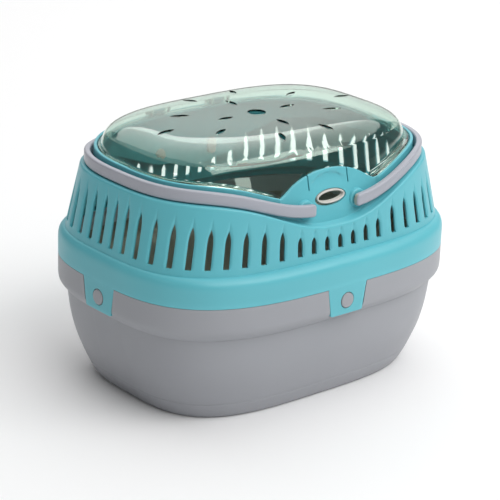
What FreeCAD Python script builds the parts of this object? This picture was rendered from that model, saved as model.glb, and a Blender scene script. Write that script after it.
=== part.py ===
import FreeCAD, Part
import math
import os

V = FreeCAD.Vector
os.makedirs("parts", exist_ok=True)

# ---------------------------------------------------------------- dimensions
# Origin: centre of the flat underside. Front (latch side) is -Y, width along X, up is +Z.
WALL = 2.3                     # moulded wall of the turquoise shell
TUB_WALL = 2.5                 # moulded wall of the grey tub
FLOOR = 2.8                    # floor of the tub
LID_WALL = 2.2                 # wall of the clear lid

# Level curves are superellipses |x/a|^n + |y/b|^n = 1, written (z, a, b, n).
TUB_OUT = [(0, 118.6, 83.7, 3.41), (1.2, 120.6, 85.7, 3.41), (4, 122.5, 87.6, 3.40),
           (10, 125.6, 90.6, 3.39), (20, 130.0, 94.3, 3.37), (35, 135.6, 99.2, 3.33),
           (52, 140.1, 102.4, 3.28), (66, 142.3, 104.0, 3.24), (70.5, 142.9, 104.8, 3.22),
           (72.2, 143.6, 105.6, 3.20), (74, 145.2, 107.6, 3.17), (76, 147.2, 109.9, 3.13),
           (78.5, 149.0, 111.9, 3.09), (81, 149.8, 112.8, 3.07), (84, 150.0, 113.0, 3.07)]
BAND_TOP = 99.2                # top of the outer band of the tub
TUB_RIM_TOP = 112.0            # the tub's inner rim stands up inside the shell's skirt
RIM_A, RIM_B = 147.1, 110.1    # outside of that inner rim

SKIRT_Z = 99.5                 # lower edge of the shell
SHELL_OUT = [(99.5, 150.0, 113.0, 3.07), (112.5, 150.0, 113.0, 3.07), (116.5, 149.6, 112.2, 3.08),
             (119.2, 148.6, 110.4, 3.10), (121.2, 147.2, 107.6, 3.14), (122.6, 145.4, 103.9, 3.20),
             (180.0, 135.0, 99.0, 2.83)]
SHELL_IN = [(99.0, 147.6, 110.6, 3.07), (112.5, 147.6, 110.6, 3.07), (116.0, 147.0, 109.6, 3.08),
            (118.4, 145.4, 106.8, 3.12), (120.2, 143.1, 101.6, 3.20), (180.0, 132.6, 96.6, 2.83)]

COLLAR_A, COLLAR_B, COLLAR_N = 126.4, 90.6, 2.90   # upright collar round the top opening
SEAT_A, SEAT_B = 124.1, 87.8                       # inside of the collar
LEDGE_A, LEDGE_B = 120.2, 83.8                     # clear opening inside the lid's seat

BAIL_A, BAIL_B, BAIL_N = 131.4, 95.2, 2.85         # centre line of the folded handles, in plan
BAIL_W, BAIL_H, BAIL_R = 5.0, 10.4, 1.7            # handle section
PIVOT_X, PIVOT_Z = 26.0, 157.6                     # handle pivots, front and back
BAIL_END_X = 20.4                                  # where a folded handle ends
PIN_R, PIN_HOLE_R = 3.3, 3.38
PIN_HEAD_R = 4.3

HINGE_Y, HINGE_Z = 88.9, 192.6                     # lid hinge axis, along X
HINGE_X = 30.5                                     # middle of each hinge lug
LUG_W = 13.0
HINGE_BAR_R, HINGE_HOLE_R, LUG_R = 1.5, 1.57, 2.6

LATCH_Z = 163.0                                    # middle of the oval latch opening
OVAL_A, OVAL_B = 15.5, 6.2
TAB_AXIS_Y, TAB_AXIS_Z = -79.2, 184.4              # root of the lid's latch tongue

SNAP_TOP_Z, SNAP_BOT_Z = 100.9, 78.0               # the four snap tabs over the tub band
SNAP_W_TOP, SNAP_W_BOT, SNAP_T = 38.4, 34.4, 2.2
STUD_Z, STUD_R, STUD_HOLE_R, STUD_OUT = 87.5, 6.0, 6.6, 0.8


# ---------------------------------------------------------------- heights that vary along X
def handle_bottom(x):
    return 174.2 - 21.4 * math.exp(-(abs(x) / 75.0) ** 3)


def shelf_front(x):
    return handle_bottom(x) - 0.6 - 8.0 * math.exp(-(abs(x) / 45.0) ** 2.5)


def shelf_back(x):
    return handle_bottom(x) - 0.6 - 5.0 * math.exp(-(abs(x) / 45.0) ** 2.5)


def rim_front(x):
    return 185.4 - 21.4 * math.exp(-(abs(x) / 70.0) ** 3) * max(0.0, 1 - (abs(x) / 127.0) ** 8)


def rim_back(x):
    return 185.4 + 3.9 * max(0.0, 1 - (abs(x) / 127.0) ** 4)


PLATE = [(0, 183.9), (6, 183.8), (12, 183.2), (19.5, 181.6), (27, 179.2), (33, 176.6), (38, 173.6),
         (42, 171.0), (46, 169.2)]


def interp(table, x):
    x = abs(x)
    for (x0, y0), (x1, y1) in zip(table, table[1:]):
        if x <= x1:
            return y0 + (y1 - y0) * (x - x0) / (x1 - x0)
    return table[-1][1]


def lid_edge_front(x):
    if abs(x) >= 46.0:
        return rim_front(x) - 2.1
    return min(interp(PLATE, x) - 4.0, rim_front(x) - 2.1 + 60.0) if abs(x) < 40 else (
        interp(PLATE, x) - 4.0 + (abs(x) - 40) / 6.0 * (rim_front(46) - 2.1 - (interp(PLATE, 46) - 4.0)))


# ---------------------------------------------------------------- helpers
def se_xy(a, bf, bb, n, t):
    c, s = math.cos(t), math.sin(t)
    b = bf if s < 0 else bb
    r = (abs(c / a) ** n + abs(s / b) ** n) ** (-1.0 / n)
    return r * c, r * s


def ring(z, a, bf, n, bb=None, count=72):
    bb = bf if bb is None else bb
    pts = []
    for i in range(count):
        # angles follow the rectangle, so that the corners get enough points
        u = 2 * math.pi * i / count
        t = math.atan2(math.sin(u) * bf / a, math.cos(u))
        x, y = se_xy(a, bf, bb, n, t)
        pts.append(V(x, y, z))
    c = Part.BSplineCurve()
    c.interpolate(Points=pts, PeriodicFlag=True)
    return Part.Wire([c.toShape()])


def stack(sections):
    wires = []
    for s in sections:
        z, a, b, n = s[:4]
        wires.append(ring(z, a, b, n, s[4] if len(s) > 4 else None))
    return Part.makeLoft(wires, True, True)


def prism(a, b, n, z0, z1):
    return stack([(z0, a, b, n), (z1, a, b, n)])


def box(x0, y0, z0, x1, y1, z1):
    return Part.makeBox(x1 - x0, y1 - y0, z1 - z0, V(x0, y0, z0))


def above(f, y0, y1, xs=None, top=260.0):
    """Everything above z = f(x) between y0 and y1."""
    xs = xs or [-165 + 5.0 * i for i in range(67)]
    pts = [V(x, y0, f(x)) for x in xs]
    c = Part.BSplineCurve()
    c.interpolate(pts)
    e = [c.toShape(),
         Part.makeLine(pts[-1], V(xs[-1], y0, top)),
         Part.makeLine(V(xs[-1], y0, top), V(xs[0], y0, top)),
         Part.makeLine(V(xs[0], y0, top), pts[0])]
    return Part.Face(Part.Wire(e)).extrude(V(0, y1 - y0, 0))


def below(f, y0, y1, xs=None, bottom=90.0):
    """Everything below z = f(x) between y0 and y1."""
    return above(f, y0, y1, xs, bottom)


def cyl_y(x, z, r, y0, y1):
    return Part.makeCylinder(r, y1 - y0, V(x, y0, z), V(0, 1, 0))


def cyl_x(y, z, r, x0, x1):
    return Part.makeCylinder(r, x1 - x0, V(x0, y, z), V(1, 0, 0))


def ellipse_y(rx, rz, z, y0, y1, x=0.0):
    e = Part.Ellipse(V(x, y0, z), rx, rz)
    e = Part.makeCylinder(1.0, 1.0, V(0, 0, 0), V(0, 1, 0))
    m = FreeCAD.Matrix(rx, 0, 0, x, 0, (y1 - y0), 0, y0, 0, 0, rz, z, 0, 0, 0, 1)
    return e.transformGeometry(m)


def mirror_x(s):
    return s.mirror(V(0, 0, 0), V(1, 0, 0))


def mirror_y(s):
    return s.mirror(V(0, 0, 0), V(0, 1, 0))


def one(shape, name):
    s = shape.removeSplitter() if False else shape
    solids = s.Solids
    print(name, "solids", len(solids), "volume cm3 %.1f" % (s.Volume / 1000.0), "valid", s.isValid())
    if len(solids) > 1:
        keep = sorted(solids, key=lambda q: -q.Volume)
        for q in keep[1:]:
            print("   extra solid", round(q.Volume, 2), q.BoundBox)
        return keep[0] if all(q.Volume < 0.5 for q in keep[1:]) else s
    return solids[0]


def save(shape, name):
    shape.exportStep("parts/%s.step" % name)


# ---------------------------------------------------------------- grey tub
body = stack(TUB_OUT + [(BAND_TOP, 150.0, 113.0, 3.07)])
rim = stack([(BAND_TOP - 1.0, RIM_A, RIM_B, 3.07), (TUB_RIM_TOP, RIM_A, RIM_B, 3.07)])
cavity = stack([(FLOOR, 118.5, 83.6, 3.40), (5.5, 120.6, 85.7, 3.40), (10.5, 123.3, 88.3, 3.39),
                (20, 127.5, 91.8, 3.37), (35, 133.1, 96.7, 3.33), (52, 137.6, 99.9, 3.28),
                (66.5, 139.8, 101.5, 3.24), (72.0, 140.6, 102.6, 3.22), (74.5, 142.0, 104.4, 3.19),
                (77.0, 144.4, 107.0, 3.14), (80.0, 146.4, 109.4, 3.10), (83.5, 147.4, 110.4, 3.07),
                (88.0, 147.5, 110.5, 3.07), (94.6, 147.5, 110.5, 3.07), (97.0, 144.8, 107.8, 3.07), (TUB_RIM_TOP + 1, 144.8, 107.8, 3.07)])
tub = body.fuse(rim).cut(cavity)


def snap_prism(axis, side, grow, zb, zt, d0, d1):
    """Tapered plate outline of a snap tab, pushed from d0 to d1 outward along one axis."""
    wt, wb = SNAP_W_TOP / 2 + grow, SNAP_W_BOT / 2 + grow
    slope = (wt - wb) / (SKIRT_Z - SNAP_BOT_Z)
    ht = wt if zt <= SKIRT_Z else wt
    hb = wb - (SNAP_BOT_Z - zb) * slope
    r = 2.5
    if axis == "y":
        p = [V(-ht, 0, zt), V(ht, 0, zt), V(hb, 0, zb + r), V(hb - r, 0, zb), V(-hb + r, 0, zb), V(-hb, 0, zb + r)]
        f = Part.Face(Part.makePolygon(p + [p[0]]))
        f.translate(V(0, side * d0, 0))
        return f.extrude(V(0, side * (d1 - d0), 0))
    p = [V(0, -ht, zt), V(0, ht, zt), V(0, hb, zb + r), V(0, hb - r, zb), V(0, -hb + r, zb), V(0, -hb, zb + r)]
    f = Part.Face(Part.makePolygon(p + [p[0]]))
    f.translate(V(side * d0, 0, 0))
    return f.extrude(V(side * (d1 - d0), 0, 0))


# pockets for the snap tabs: the band is set back and backed by a pad inside
pocket_core = stack([(60, 147.4, 110.4, 3.07), (110, 147.4, 110.4, 3.07)])
pad_core = stack([(74.0, 147.6, 110.6, 3.07), (98.0, 147.6, 110.6, 3.07)]).cut(
    stack([(73.0, 144.9, 107.9, 3.07), (99.0, 144.9, 107.9, 3.07)]))
pads = pad_core.common(Part.makeCompound([box(-22, -120, 75, 22, 120, 97.5)])).fuse(
    pad_core.common(box(-160, -22, 75, 160, 22, 97.5)))
tub = tub.fuse(pads)
pockets = []
studs = []
for axis, side, reach in (("y", -1, 113.0), ("y", 1, 113.0), ("x", -1, 150.0), ("x", 1, 150.0)):
    pockets.append(snap_prism(axis, side, 0.5, SNAP_BOT_Z - 0.6, BAND_TOP + 3, reach - 2.6, reach + 12))
    lo, hi = reach - 3.2, reach + STUD_OUT
    if axis == "y":
        base, d = V(0, side * lo, STUD_Z), V(0, side, 0)
    else:
        base, d = V(side * lo, 0, STUD_Z), V(side, 0, 0)
    st = Part.makeCylinder(STUD_R, hi - lo - 0.5, base, d).fuse(
        Part.makeCone(STUD_R, STUD_R - 0.5, 0.5, base + d * (hi - lo - 0.5), d))
    studs.append(st)
for p in pockets:
    tub = tub.cut(p)
for s in studs:
    tub = tub.fuse(s)
tub = one(tub, "base_tub")
save(tub, "base_tub")

# ---------------------------------------------------------------- turquoise shell
# The wall is one closed band of sections. Each section is a closed curve round the object whose height follows
# the dips under the handle pivots, and neighbouring curves are joined by ruled faces.
ANGLES = sorted(set([round(2 * math.pi * i / 108, 6) for i in range(108)] +
                    [round(math.atan2(-math.sqrt(max(0.0, 1 - (x / 138.0) ** 2)), x / 138.0) % (2 * math.pi), 6)
                     for sgn in (-1, 1) for x in [sgn * v for v in (38, 41, 43, 45, 46.5, 48, 49.5, 51, 53, 56)]]))
_kept = [ANGLES[0]]
for _t in ANGLES[1:]:
    if _t - _kept[-1] > 0.008:
        _kept.append(_t)
ANGLES = _kept


def plan(a, bf, bb, n, t):
    """Point of the level curve whose x is about a cos t."""
    c, s = math.cos(t), math.sin(t)
    b = bf if s < 0 else bb
    k = (abs(c) ** n + abs(s) ** n) ** (-1.0 / n)
    return a * c * k, b * s * k


def loop_edge(fn):
    pts = [fn(t) for t in ANGLES]
    c = Part.BSplineCurve()
    c.interpolate(Points=pts, PeriodicFlag=True)
    return c.toShape()


def smooth(v, lo, hi):
    k = min(1.0, max(0.0, (v - lo) / (hi - lo)))
    return k * k * (3 - 2 * k)


def centre(x, y):
    """1 behind the arched plate, 0 elsewhere."""
    return (1 - smooth(abs(x), 45.0, 50.0)) if y < 0 else 0.0


def by_z(table, z, col):
    if z <= table[0][0]:
        return table[0][col]
    for p, q in zip(table, table[1:]):
        if z <= q[0]:
            return p[col] + (q[col] - p[col]) * (z - p[0]) / (q[0] - p[0])
    return table[-1][col]


LEAN = [(138, 91.2), (150, 90.9), (157, 90.1), (163, 88.9), (172, 86.1), (184.5, 83.2), (192, 81.8)]


def shelf_z(x, y):
    return shelf_front(x) if y < 0 else shelf_back(x)


def rim_z(x, y):
    return rim_front(x) if y < 0 else rim_back(x)


def top_z(x, y):
    w = centre(x, y)
    return w * interp(PLATE, x) + (1 - w) * rim_z(x, y)


def level(z, a, b, n):
    return lambda t: V(*(plan(a, b, b, n, t) + (z,)))


def on_table(table, t, zfn, shrink=0.0):
    """Point on a tapering wall at the height that zfn gives for its own x."""
    a, b, n = (by_z(table, 165.0, k) for k in (1, 2, 3))
    x, y = plan(a, b, b, n, t)
    for _ in range(4):
        z = zfn(x, y)
        x, y = plan(by_z(table, z, 1) - shrink, by_z(table, z, 2) - shrink, by_z(table, z, 2) - shrink,
                    by_z(table, z, 3), t)
    return V(x, y, zfn(x, y))


def collar_pt(t, zfn, depth, seat=None):
    """Point on the collar, depth inward from its outer face; behind the plate the collar leans inward with height."""
    x, y = plan(COLLAR_A - depth, COLLAR_B - depth, COLLAR_B - depth, COLLAR_N, t)
    z = zfn(x, y)
    w = centre(x, y)
    b = w * (by_z(LEAN, z, 1) - depth) + (1 - w) * (COLLAR_B - depth)
    x2, y2 = plan(COLLAR_A - depth, b, COLLAR_B - depth, COLLAR_N, t)
    if seat is not None:
        # the seat ledge reaches inward, and lies flat on the wall behind the plate
        x3, y3 = plan(LEDGE_A, LEDGE_B, LEDGE_B, COLLAR_N, t)
        x2, y2 = x2 + (x3 - x2) * (1 - w) * seat, y2 + (y3 - y2) * (1 - w) * seat
        z = zfn(x2, y2)
    return V(x2, y2, z)


def mix(x, y, outside, inside):
    w = centre(x, y)
    return w * inside + (1 - w) * outside


curves = [level(*q) for q in SHELL_OUT[:-1]]
curves += [
    lambda t: on_table(SHELL_OUT, t, lambda x, y: shelf_z(x, y) - 1.3),
    lambda t: on_table(SHELL_OUT, t, shelf_z, 1.3),
    lambda t: collar_pt(t, shelf_z, 0.0),
    lambda t: collar_pt(t, lambda x, y: shelf_z(x, y) + 0.35 * (top_z(x, y) - shelf_z(x, y)), 0.0),
    lambda t: collar_pt(t, lambda x, y: top_z(x, y) - 0.5, 0.0),
    lambda t: collar_pt(t, top_z, 0.5),
    lambda t: collar_pt(t, top_z, WALL),
    lambda t: collar_pt(t, lambda x, y: mix(x, y, rim_z(x, y) - 2.4, 166.0), WALL),
    lambda t: collar_pt(t, lambda x, y: mix(x, y, rim_z(x, y) - 2.4, 163.5), WALL, 1.0),
    lambda t: collar_pt(t, lambda x, y: mix(x, y, rim_z(x, y) - 4.6, 160.5), WALL, 1.0),
    lambda t: collar_pt(t, lambda x, y: mix(x, y, rim_z(x, y) - 5.6, 157.5), WALL),
    lambda t: collar_pt(t, lambda x, y: shelf_z(x, y) - WALL, WALL),
    lambda t: on_table(SHELL_IN, t, lambda x, y: shelf_z(x, y) - WALL)]
curves += [level(*q) for q in reversed(SHELL_IN[1:-1])]
curves += [level(SKIRT_Z, *SHELL_IN[0][1:])]


def band_solid(fns, closed=True, caps=()):
    edges = [loop_edge(f) for f in fns]
    pairs = list(zip(edges, edges[1:])) + ([(edges[-1], edges[0])] if closed else [])
    faces = [Part.makeRuledSurface(p, q) for p, q in pairs]
    faces += [Part.Face(Part.Wire([edges[i]])) for i in caps]
    sewn = Part.makeCompound(faces)
    sewn.sewShape()
    shell_ = sewn.Shells[0] if sewn.Shells else Part.Shell(sewn.Faces)
    sol = Part.Solid(shell_)
    if sol.Volume < 0:
        sol.reverse()
    return sol


shell = band_solid(curves)
print("shell band", shell.isValid(), round(shell.Volume / 1000, 1), len(shell.Faces))

# bosses behind the handle ends
for sx in (-1, 1):
    for sy in (-1, 1):
        y0, y1 = (-91.6, -87.6) if sy < 0 else (88.6, 91.6)
        shell = shell.fuse(cyl_y(sx * PIVOT_X, PIVOT_Z, 7.4, y0, y1))
# hinge lugs on the back of the collar
for sx in (-1, 1):
    x0, x1 = sx * HINGE_X - LUG_W / 2, sx * HINGE_X + LUG_W / 2
    lug = box(x0, HINGE_Y - 1.2, 184.5, x1, HINGE_Y + LUG_R, HINGE_Z).fuse(
        cyl_x(HINGE_Y, HINGE_Z, LUG_R, x0, x1))
    # the underside of the lug runs back to the collar on a slope
    w = Part.Face(Part.makePolygon([V(x0 - 1, 90.5, 184.4), V(x0 - 1, 93, 184.4), V(x0 - 1, 93, 187.6), V(x0 - 1, 90.5, 184.4)]))
    lug = lug.cut(w.extrude(V(LUG_W + 2, 0, 0)))
    lug = lug.cut(cyl_x(HINGE_Y, HINGE_Z, HINGE_HOLE_R, x0 - 1, x1 + 1))
    lug = lug.cut(box(x0 - 1, HINGE_Y - 1.2, HINGE_Z, x1 + 1, HINGE_Y + 1.2, HINGE_Z + 5))
    shell = shell.fuse(lug)

cuts = [ellipse_y(OVAL_A, OVAL_B, LATCH_Z, -95, -80)]
for sx in (-1, 1):
    cuts.append(box(sx * 19.5 - 0.6, -95, 170.5, sx * 19.5 + 0.6, -70, 190))
    cuts.append(cyl_y(sx * PIVOT_X, PIVOT_Z, PIN_HOLE_R, -95, -80))
    cuts.append(cyl_y(sx * PIVOT_X, PIVOT_Z, PIN_HOLE_R, 80, 95))

# vent slots: (distance along X on the wall, or along Y past the corner, top height front, top height back)
SLOT_BOTTOM = 126.8
SLOT_W = 4.4
SLOTS = [("x", 0.0, 137.8, 141.8), ("x", 13.1, 138.2, 142.0), ("x", 26.3, 139.8, 143.2), ("x", 39.7, 141.8, 147.0),
         ("x", 56.5, 148.6, 152.6), ("x", 72.4, 150.8, 155.6), ("x", 87.7, 152.6, 157.6), ("x", 101.5, 154.2, 158.2),
         ("x", 113.8, 156.0, 158.6), ("x", 125.0, 157.6, 158.8), ("x", 133.8, 158.8, 159.2),
         ("y", 49.8, 160.2, 160.2), ("y", 34.6, 162.0, 162.0), ("y", 20.6, 163.8, 163.8), ("y", 6.8, 164.2, 164.2)]
SA, SB, SN = 144.6, 103.4, 3.18


def on_wall(kind, d):
    if kind == "x":
        return d, SB * (1 - (d / SA) ** SN) ** (1 / SN)
    return SA * (1 - (d / SB) ** SN) ** (1 / SN), d


def lancet(px, py, nx, ny, z0, z1, w):
    """Upright lancet opening, wide and flat at the foot and pointed at the top, pushed along the wall's normal."""
    tx, ty = -ny, nx
    o = V(px + nx * 5, py + ny * 5, 0)
    h = z1 - z0

    def q(u, z):
        return V(o.x + tx * u, o.y + ty * u, z)
    e = [Part.makeLine(q(-w / 2, z0), q(w / 2, z0)),
         Part.Arc(q(w / 2, z0), q(w * 0.40, z0 + 0.55 * h), q(0.15, z1)).toShape(),
         Part.makeLine(q(0.15, z1), q(-0.15, z1)),
         Part.Arc(q(-0.15, z1), q(-w * 0.40, z0 + 0.55 * h), q(-w / 2, z0)).toShape()]
    return Part.Face(Part.Wire(e)).extrude(V(-nx * 16, -ny * 16, 0))


slots = []
for kind, d, tf, tb in SLOTS:
    x, y = on_wall(kind, d)
    gx = (x / SA) ** (SN - 1) / SA
    gy = (y / SB) ** (SN - 1) / SB
    g = math.hypot(gx, gy)
    nx, ny = gx / g, gy / g
    for sy, top in ((-1, tf), (1, tb)):
        for sx in ((1,) if x == 0 else (1, -1)):
            slots.append(lancet(sx * x, sy * y, sx * nx, sy * ny, SLOT_BOTTOM, top, SLOT_W))
# notches in the skirt for the roots of the snap tabs
notches = []
for side in (-1, 1):
    w = SNAP_W_TOP / 2 + 0.4
    notches.append(box(-w, 108 if side > 0 else -118, 95, w, 118 if side > 0 else -108, 102.4))
    notches.append(box(145 if side > 0 else -155, -w, 95, 155 if side > 0 else -145, w, 102.4))
shell = shell.cut(slots)
shell = shell.cut(cuts + notches)
shell = one(shell, "upper_shell")
save(shell, "upper_shell")

# ---------------------------------------------------------------- snap tabs
def tab_blank(half, reach, sag):
    """Plate curved like the skirt, lying across -Y: half its width, its outer reach, and how far its ends fall back."""
    y0, y1 = -reach, -(reach - SNAP_T)
    e = [Part.Arc(V(-half, y0 + sag, 0), V(0, y0, 0), V(half, y0 + sag, 0)).toShape(),
         Part.makeLine(V(half, y0 + sag, 0), V(half, y1 + sag, 0)),
         Part.Arc(V(half, y1 + sag, 0), V(0, y1, 0), V(-half, y1 + sag, 0)).toShape(),
         Part.makeLine(V(-half, y1 + sag, 0), V(-half, y0 + sag, 0))]
    f = Part.Face(Part.Wire(e))
    f.translate(V(0, 0, 74))
    return f.extrude(V(0, 0, 30))


def snap_tab(reach, sag):
    t = tab_blank(24.0, reach, sag * (24.0 / 19.2) ** 2)
    t = t.common(snap_prism("y", -1, 0.0, SNAP_BOT_Z, SNAP_TOP_Z, reach - 6, reach + 4))
    w = SNAP_W_TOP / 2 - 0.05
    t = t.fuse(cyl_x(-(reach - SNAP_T / 2 - 0.12), SNAP_TOP_Z, SNAP_T / 2, -w, w))
    return t.cut(cyl_y(0, STUD_Z, STUD_HOLE_R, -reach - 12, -reach + 12))


for name, reach, sag, ang in (("snap_tab_front", 113.0, 0.12, 0), ("snap_tab_right", 150.0, 0.22, 90),
                              ("snap_tab_rear", 113.0, 0.12, 180), ("snap_tab_left", 150.0, 0.22, 270)):
    t = snap_tab(reach, sag)
    t.rotate(V(0, 0, 0), V(0, 0, 1), ang)
    save(one(t, name), name)

# ---------------------------------------------------------------- handles
def bail(sx):
    pts = []
    n = 60
    x_end = BAIL_END_X
    t0 = math.atan2(BAIL_B * (1 - (x_end / BAIL_A) ** BAIL_N) ** (1 / BAIL_N), x_end)
    for i in range(n + 1):
        u = -t0 + 2 * t0 * i / n
        x, y = se_xy(BAIL_A, BAIL_B, BAIL_B, BAIL_N, u)
        if y > 0:
            # the rear leg runs straighter, so that it clears the hinge lugs when it stands up
            w = 1 - smooth(x, 62.0, 102.0)
            y = y + (max(y, 94.7) - y) * w
        pts.append(V(sx * x, y, handle_bottom(x) + BAIL_H / 2))
    c = Part.BSplineCurve()
    c.interpolate(pts)
    spine = Part.Wire([c.toShape()])
    p0 = pts[0]
    tan = c.tangent(c.FirstParameter)[0]
    up = V(0, 0, 1)
    side = tan.cross(up)
    side.normalize()
    w, h, r = BAIL_W / 2, BAIL_H / 2, BAIL_R

    def q(a, b):
        return p0 + side * a + up * b
    k = r * (1 - math.sqrt(0.5))
    e = []
    corners = [(w, h), (-w, h), (-w, -h), (w, -h)]
    e.append(Part.makeLine(q(w - r, h), q(-w + r, h)))
    e.append(Part.Arc(q(-w + r, h), q(-w + k, h - k), q(-w, h - r)).toShape())
    e.append(Part.makeLine(q(-w, h - r), q(-w, -h + r)))
    e.append(Part.Arc(q(-w, -h + r), q(-w + k, -h + k), q(-w + r, -h)).toShape())
    e.append(Part.makeLine(q(-w + r, -h), q(w - r, -h)))
    e.append(Part.Arc(q(w - r, -h), q(w - k, -h + k), q(w, -h + r)).toShape())
    e.append(Part.makeLine(q(w, -h + r), q(w, h - r)))
    e.append(Part.Arc(q(w, h - r), q(w - k, h - k), q(w - r, h)).toShape())
    prof = Part.Wire(e)
    mk = Part.BRepOffsetAPI.MakePipeShell(spine)
    mk.setBiNormalMode(V(0, 0, 1))
    mk.add(prof, False, False)
    mk.build()
    mk.makeSolid()
    s = Part.Solid(mk.shape()) if mk.shape().ShapeType != "Solid" else mk.shape()
    if s.Volume < 0:
        s.reverse()
    for sy in (-1, 1):
        y_in = 92.9
        a, b = sorted((sy * (y_in + 1.5), sy * 84.6))
        s = s.fuse(cyl_y(sx * PIVOT_X, PIVOT_Z, PIN_R, a, b))
        hi = 85.9 if sy < 0 else 86.9
        a, b = sorted((sy * hi, sy * 84.6))
        s = s.fuse(cyl_y(sx * PIVOT_X, PIVOT_Z, PIN_HEAD_R, a, b))
        a, b = sorted((sy * 90.5, sy * 84.0))
        s = s.cut(box(sx * PIVOT_X - 0.8, a, PIVOT_Z - 6, sx * PIVOT_X + 0.8, b, PIVOT_Z + 6))
    return s


for name, sx in (("handle_left", -1), ("handle_right", 1)):
    save(one(bail(sx), name), name)

# ---------------------------------------------------------------- clear lid
LID = [(153, 122.4, 87.2, 2.95, 85.4), (158, 122.4, 86.9, 2.95, 85.4), (163, 122.4, 85.9, 2.95, 85.4),
       (168, 122.4, 84.6, 2.95, 85.4), (172, 122.4, 83.3, 2.95, 85.4), (184.5, 122.0, 80.4, 2.97, 85.2),
       (188.5, 121.0, 79.2, 3.0, 84.9), (192.5, 118.9, 77.5, 3.0, 84.0), (196.5, 115.8, 75.0, 3.0, 82.2),
       (199.8, 112.0, 72.0, 2.98, 79.8), (202.6, 107.0, 68.0, 2.94, 76.4), (204.8, 100.5, 62.6, 2.88, 71.4),
       (206.3, 91.0, 54.6, 2.8, 63.4), (207.2, 74.0, 42.5, 2.65, 50.0), (207.5, 48.0, 27.0, 2.5, 32.0)]


def inset(sections, t):
    """The same stack moved inward by t, square to its profile."""
    out = []
    for i, (z, a, bf, n, bb) in enumerate(sections):
        z0, a0, f0, _, b0 = sections[max(i - 1, 0)]
        z1, a1, f1, _, b1 = sections[min(i + 1, len(sections) - 1)]
        da, dz = a1 - a0, z1 - z0
        g = math.hypot(da, dz)
        ca, cz = dz / g, -da / g
        mb = ((f1 - f0) + (b1 - b0)) / 2
        gb = math.hypot(mb, dz)
        out.append((z - t * (cz if i < len(sections) - 1 else 1.0), a - t * ca, bf - t * dz / gb, n, bb - t * dz / gb))
    return out


LID_IN = inset(LID, LID_WALL)
LID_IN[0] = (152.0,) + LID_IN[0][1:]


def lid_edge(x, y):
    return mix(x, y, rim_z(x, y) - 2.1, interp(PLATE, x) - 1.4)


def lid_pt(table, t, zfn):
    x, y = plan(122.0, 82.0, 85.0, 2.97, t)
    for _ in range(5):
        z = zfn(x, y)
        x, y = plan(by_z(table, z, 1), by_z(table, z, 2), by_z(table, z, 4), by_z(table, z, 3), t)
    return V(x, y, zfn(x, y))


def flange_pt(t, zfn):
    p = lid_pt(LID, t, zfn)
    x, y = plan(SEAT_A - 0.4, SEAT_B - 0.4, SEAT_B - 0.4, COLLAR_N, t)
    w = centre(p.x, p.y)
    return V(w * p.x + (1 - w) * x, w * p.y + (1 - w) * y, p.z)


def foot(x, y):
    return mix(x, y, rim_z(x, y) + 0.1, interp(PLATE, x) + 0.4)


Z_TOP = LID[-1][0]
lid_curves = [lambda t: lid_pt(LID_IN, t, lid_edge),
              lambda t: flange_pt(t, lid_edge),
              lambda t: flange_pt(t, lambda x, y: mix(x, y, rim_z(x, y) + 0.1, interp(PLATE, x) - 0.3)),
              lambda t: lid_pt(LID, t, foot)]


def rise(table, s, z_end):
    return lambda t: lid_pt(table, t, lambda x, y: foot(x, y) + (z_end - foot(x, y)) * s)


STEPS = [0.12, 0.24, 0.36, 0.48, 0.60, 0.71, 0.81, 0.89, 0.95]
for k in STEPS:
    lid_curves.append(rise(LID, k, Z_TOP))
lid_curves.append(level(Z_TOP, *[LID[-1][1], LID[-1][2], LID[-1][3]]))
n_cap = len(lid_curves) - 1
inner_curves = [level(LID_IN[-1][0], LID_IN[-1][1], LID_IN[-1][2], LID_IN[-1][3])]
for k in reversed(STEPS):
    inner_curves.append(rise(LID_IN, k, LID_IN[-1][0]))
edges_o = [loop_edge(f) for f in lid_curves]
edges_i = [loop_edge(f) for f in inner_curves] + [edges_o[0]]
faces = [Part.makeRuledSurface(p, q) for p, q in zip(edges_o, edges_o[1:])]
faces += [Part.makeRuledSurface(p, q) for p, q in zip(edges_i, edges_i[1:])]
faces += [Part.Face(Part.Wire([edges_o[-1]])), Part.Face(Part.Wire([edges_i[0]]))]
sewn = Part.makeCompound(faces)
sewn.sewShape()
lid = Part.Solid(sewn.Shells[0])
if lid.Volume < 0:
    lid.reverse()
print("lid bowl", lid.isValid(), round(lid.Volume / 1000, 1), len(lid.Faces), len(sewn.Shells))
# hinge arms either side of each lug, joined by a bar that snaps into the lug
for sx in (-1, 1):
    for off in (-LUG_W / 2 - 3.4, LUG_W / 2 + 0.4):
        x0 = sx * HINGE_X + off
        p = [V(x0, 83.2, 189.8), V(x0, HINGE_Y - 1.0, 189.8), V(x0, HINGE_Y, HINGE_Z - LUG_R),
             V(x0, HINGE_Y, HINGE_Z + LUG_R), V(x0, 81.7, 194.6)]
        arm = Part.Face(Part.makePolygon(p + [p[0]])).extrude(V(3.0, 0, 0)).fuse(
            cyl_x(HINGE_Y, HINGE_Z, LUG_R, x0, x0 + 3.0))
        lid = lid.fuse(arm)
    lid = lid.fuse(cyl_x(HINGE_Y, HINGE_Z, HINGE_BAR_R, sx * HINGE_X - LUG_W / 2 - 3.0, sx * HINGE_X + LUG_W / 2 + 3.0))
# the latch tongue is a strip of the same wall between two cuts
window = box(-17.6, -95, 140, 17.6, -70, 186.0)
lid = lid.cut(window)


def leaf(cx, cy, length, width, ang):
    c, s = math.cos(ang), math.sin(ang)

    def q(u, v):
        return V(cx + u * c - v * s, cy + u * s + v * c, 190)
    e = [Part.Arc(q(-length / 2, 0), q(0, width / 2), q(length / 2, 0)).toShape(),
         Part.Arc(q(length / 2, 0), q(0, -width / 2), q(-length / 2, 0)).toShape()]
    return Part.Face(Part.Wire(e)).extrude(V(0, 0, 30))


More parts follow.
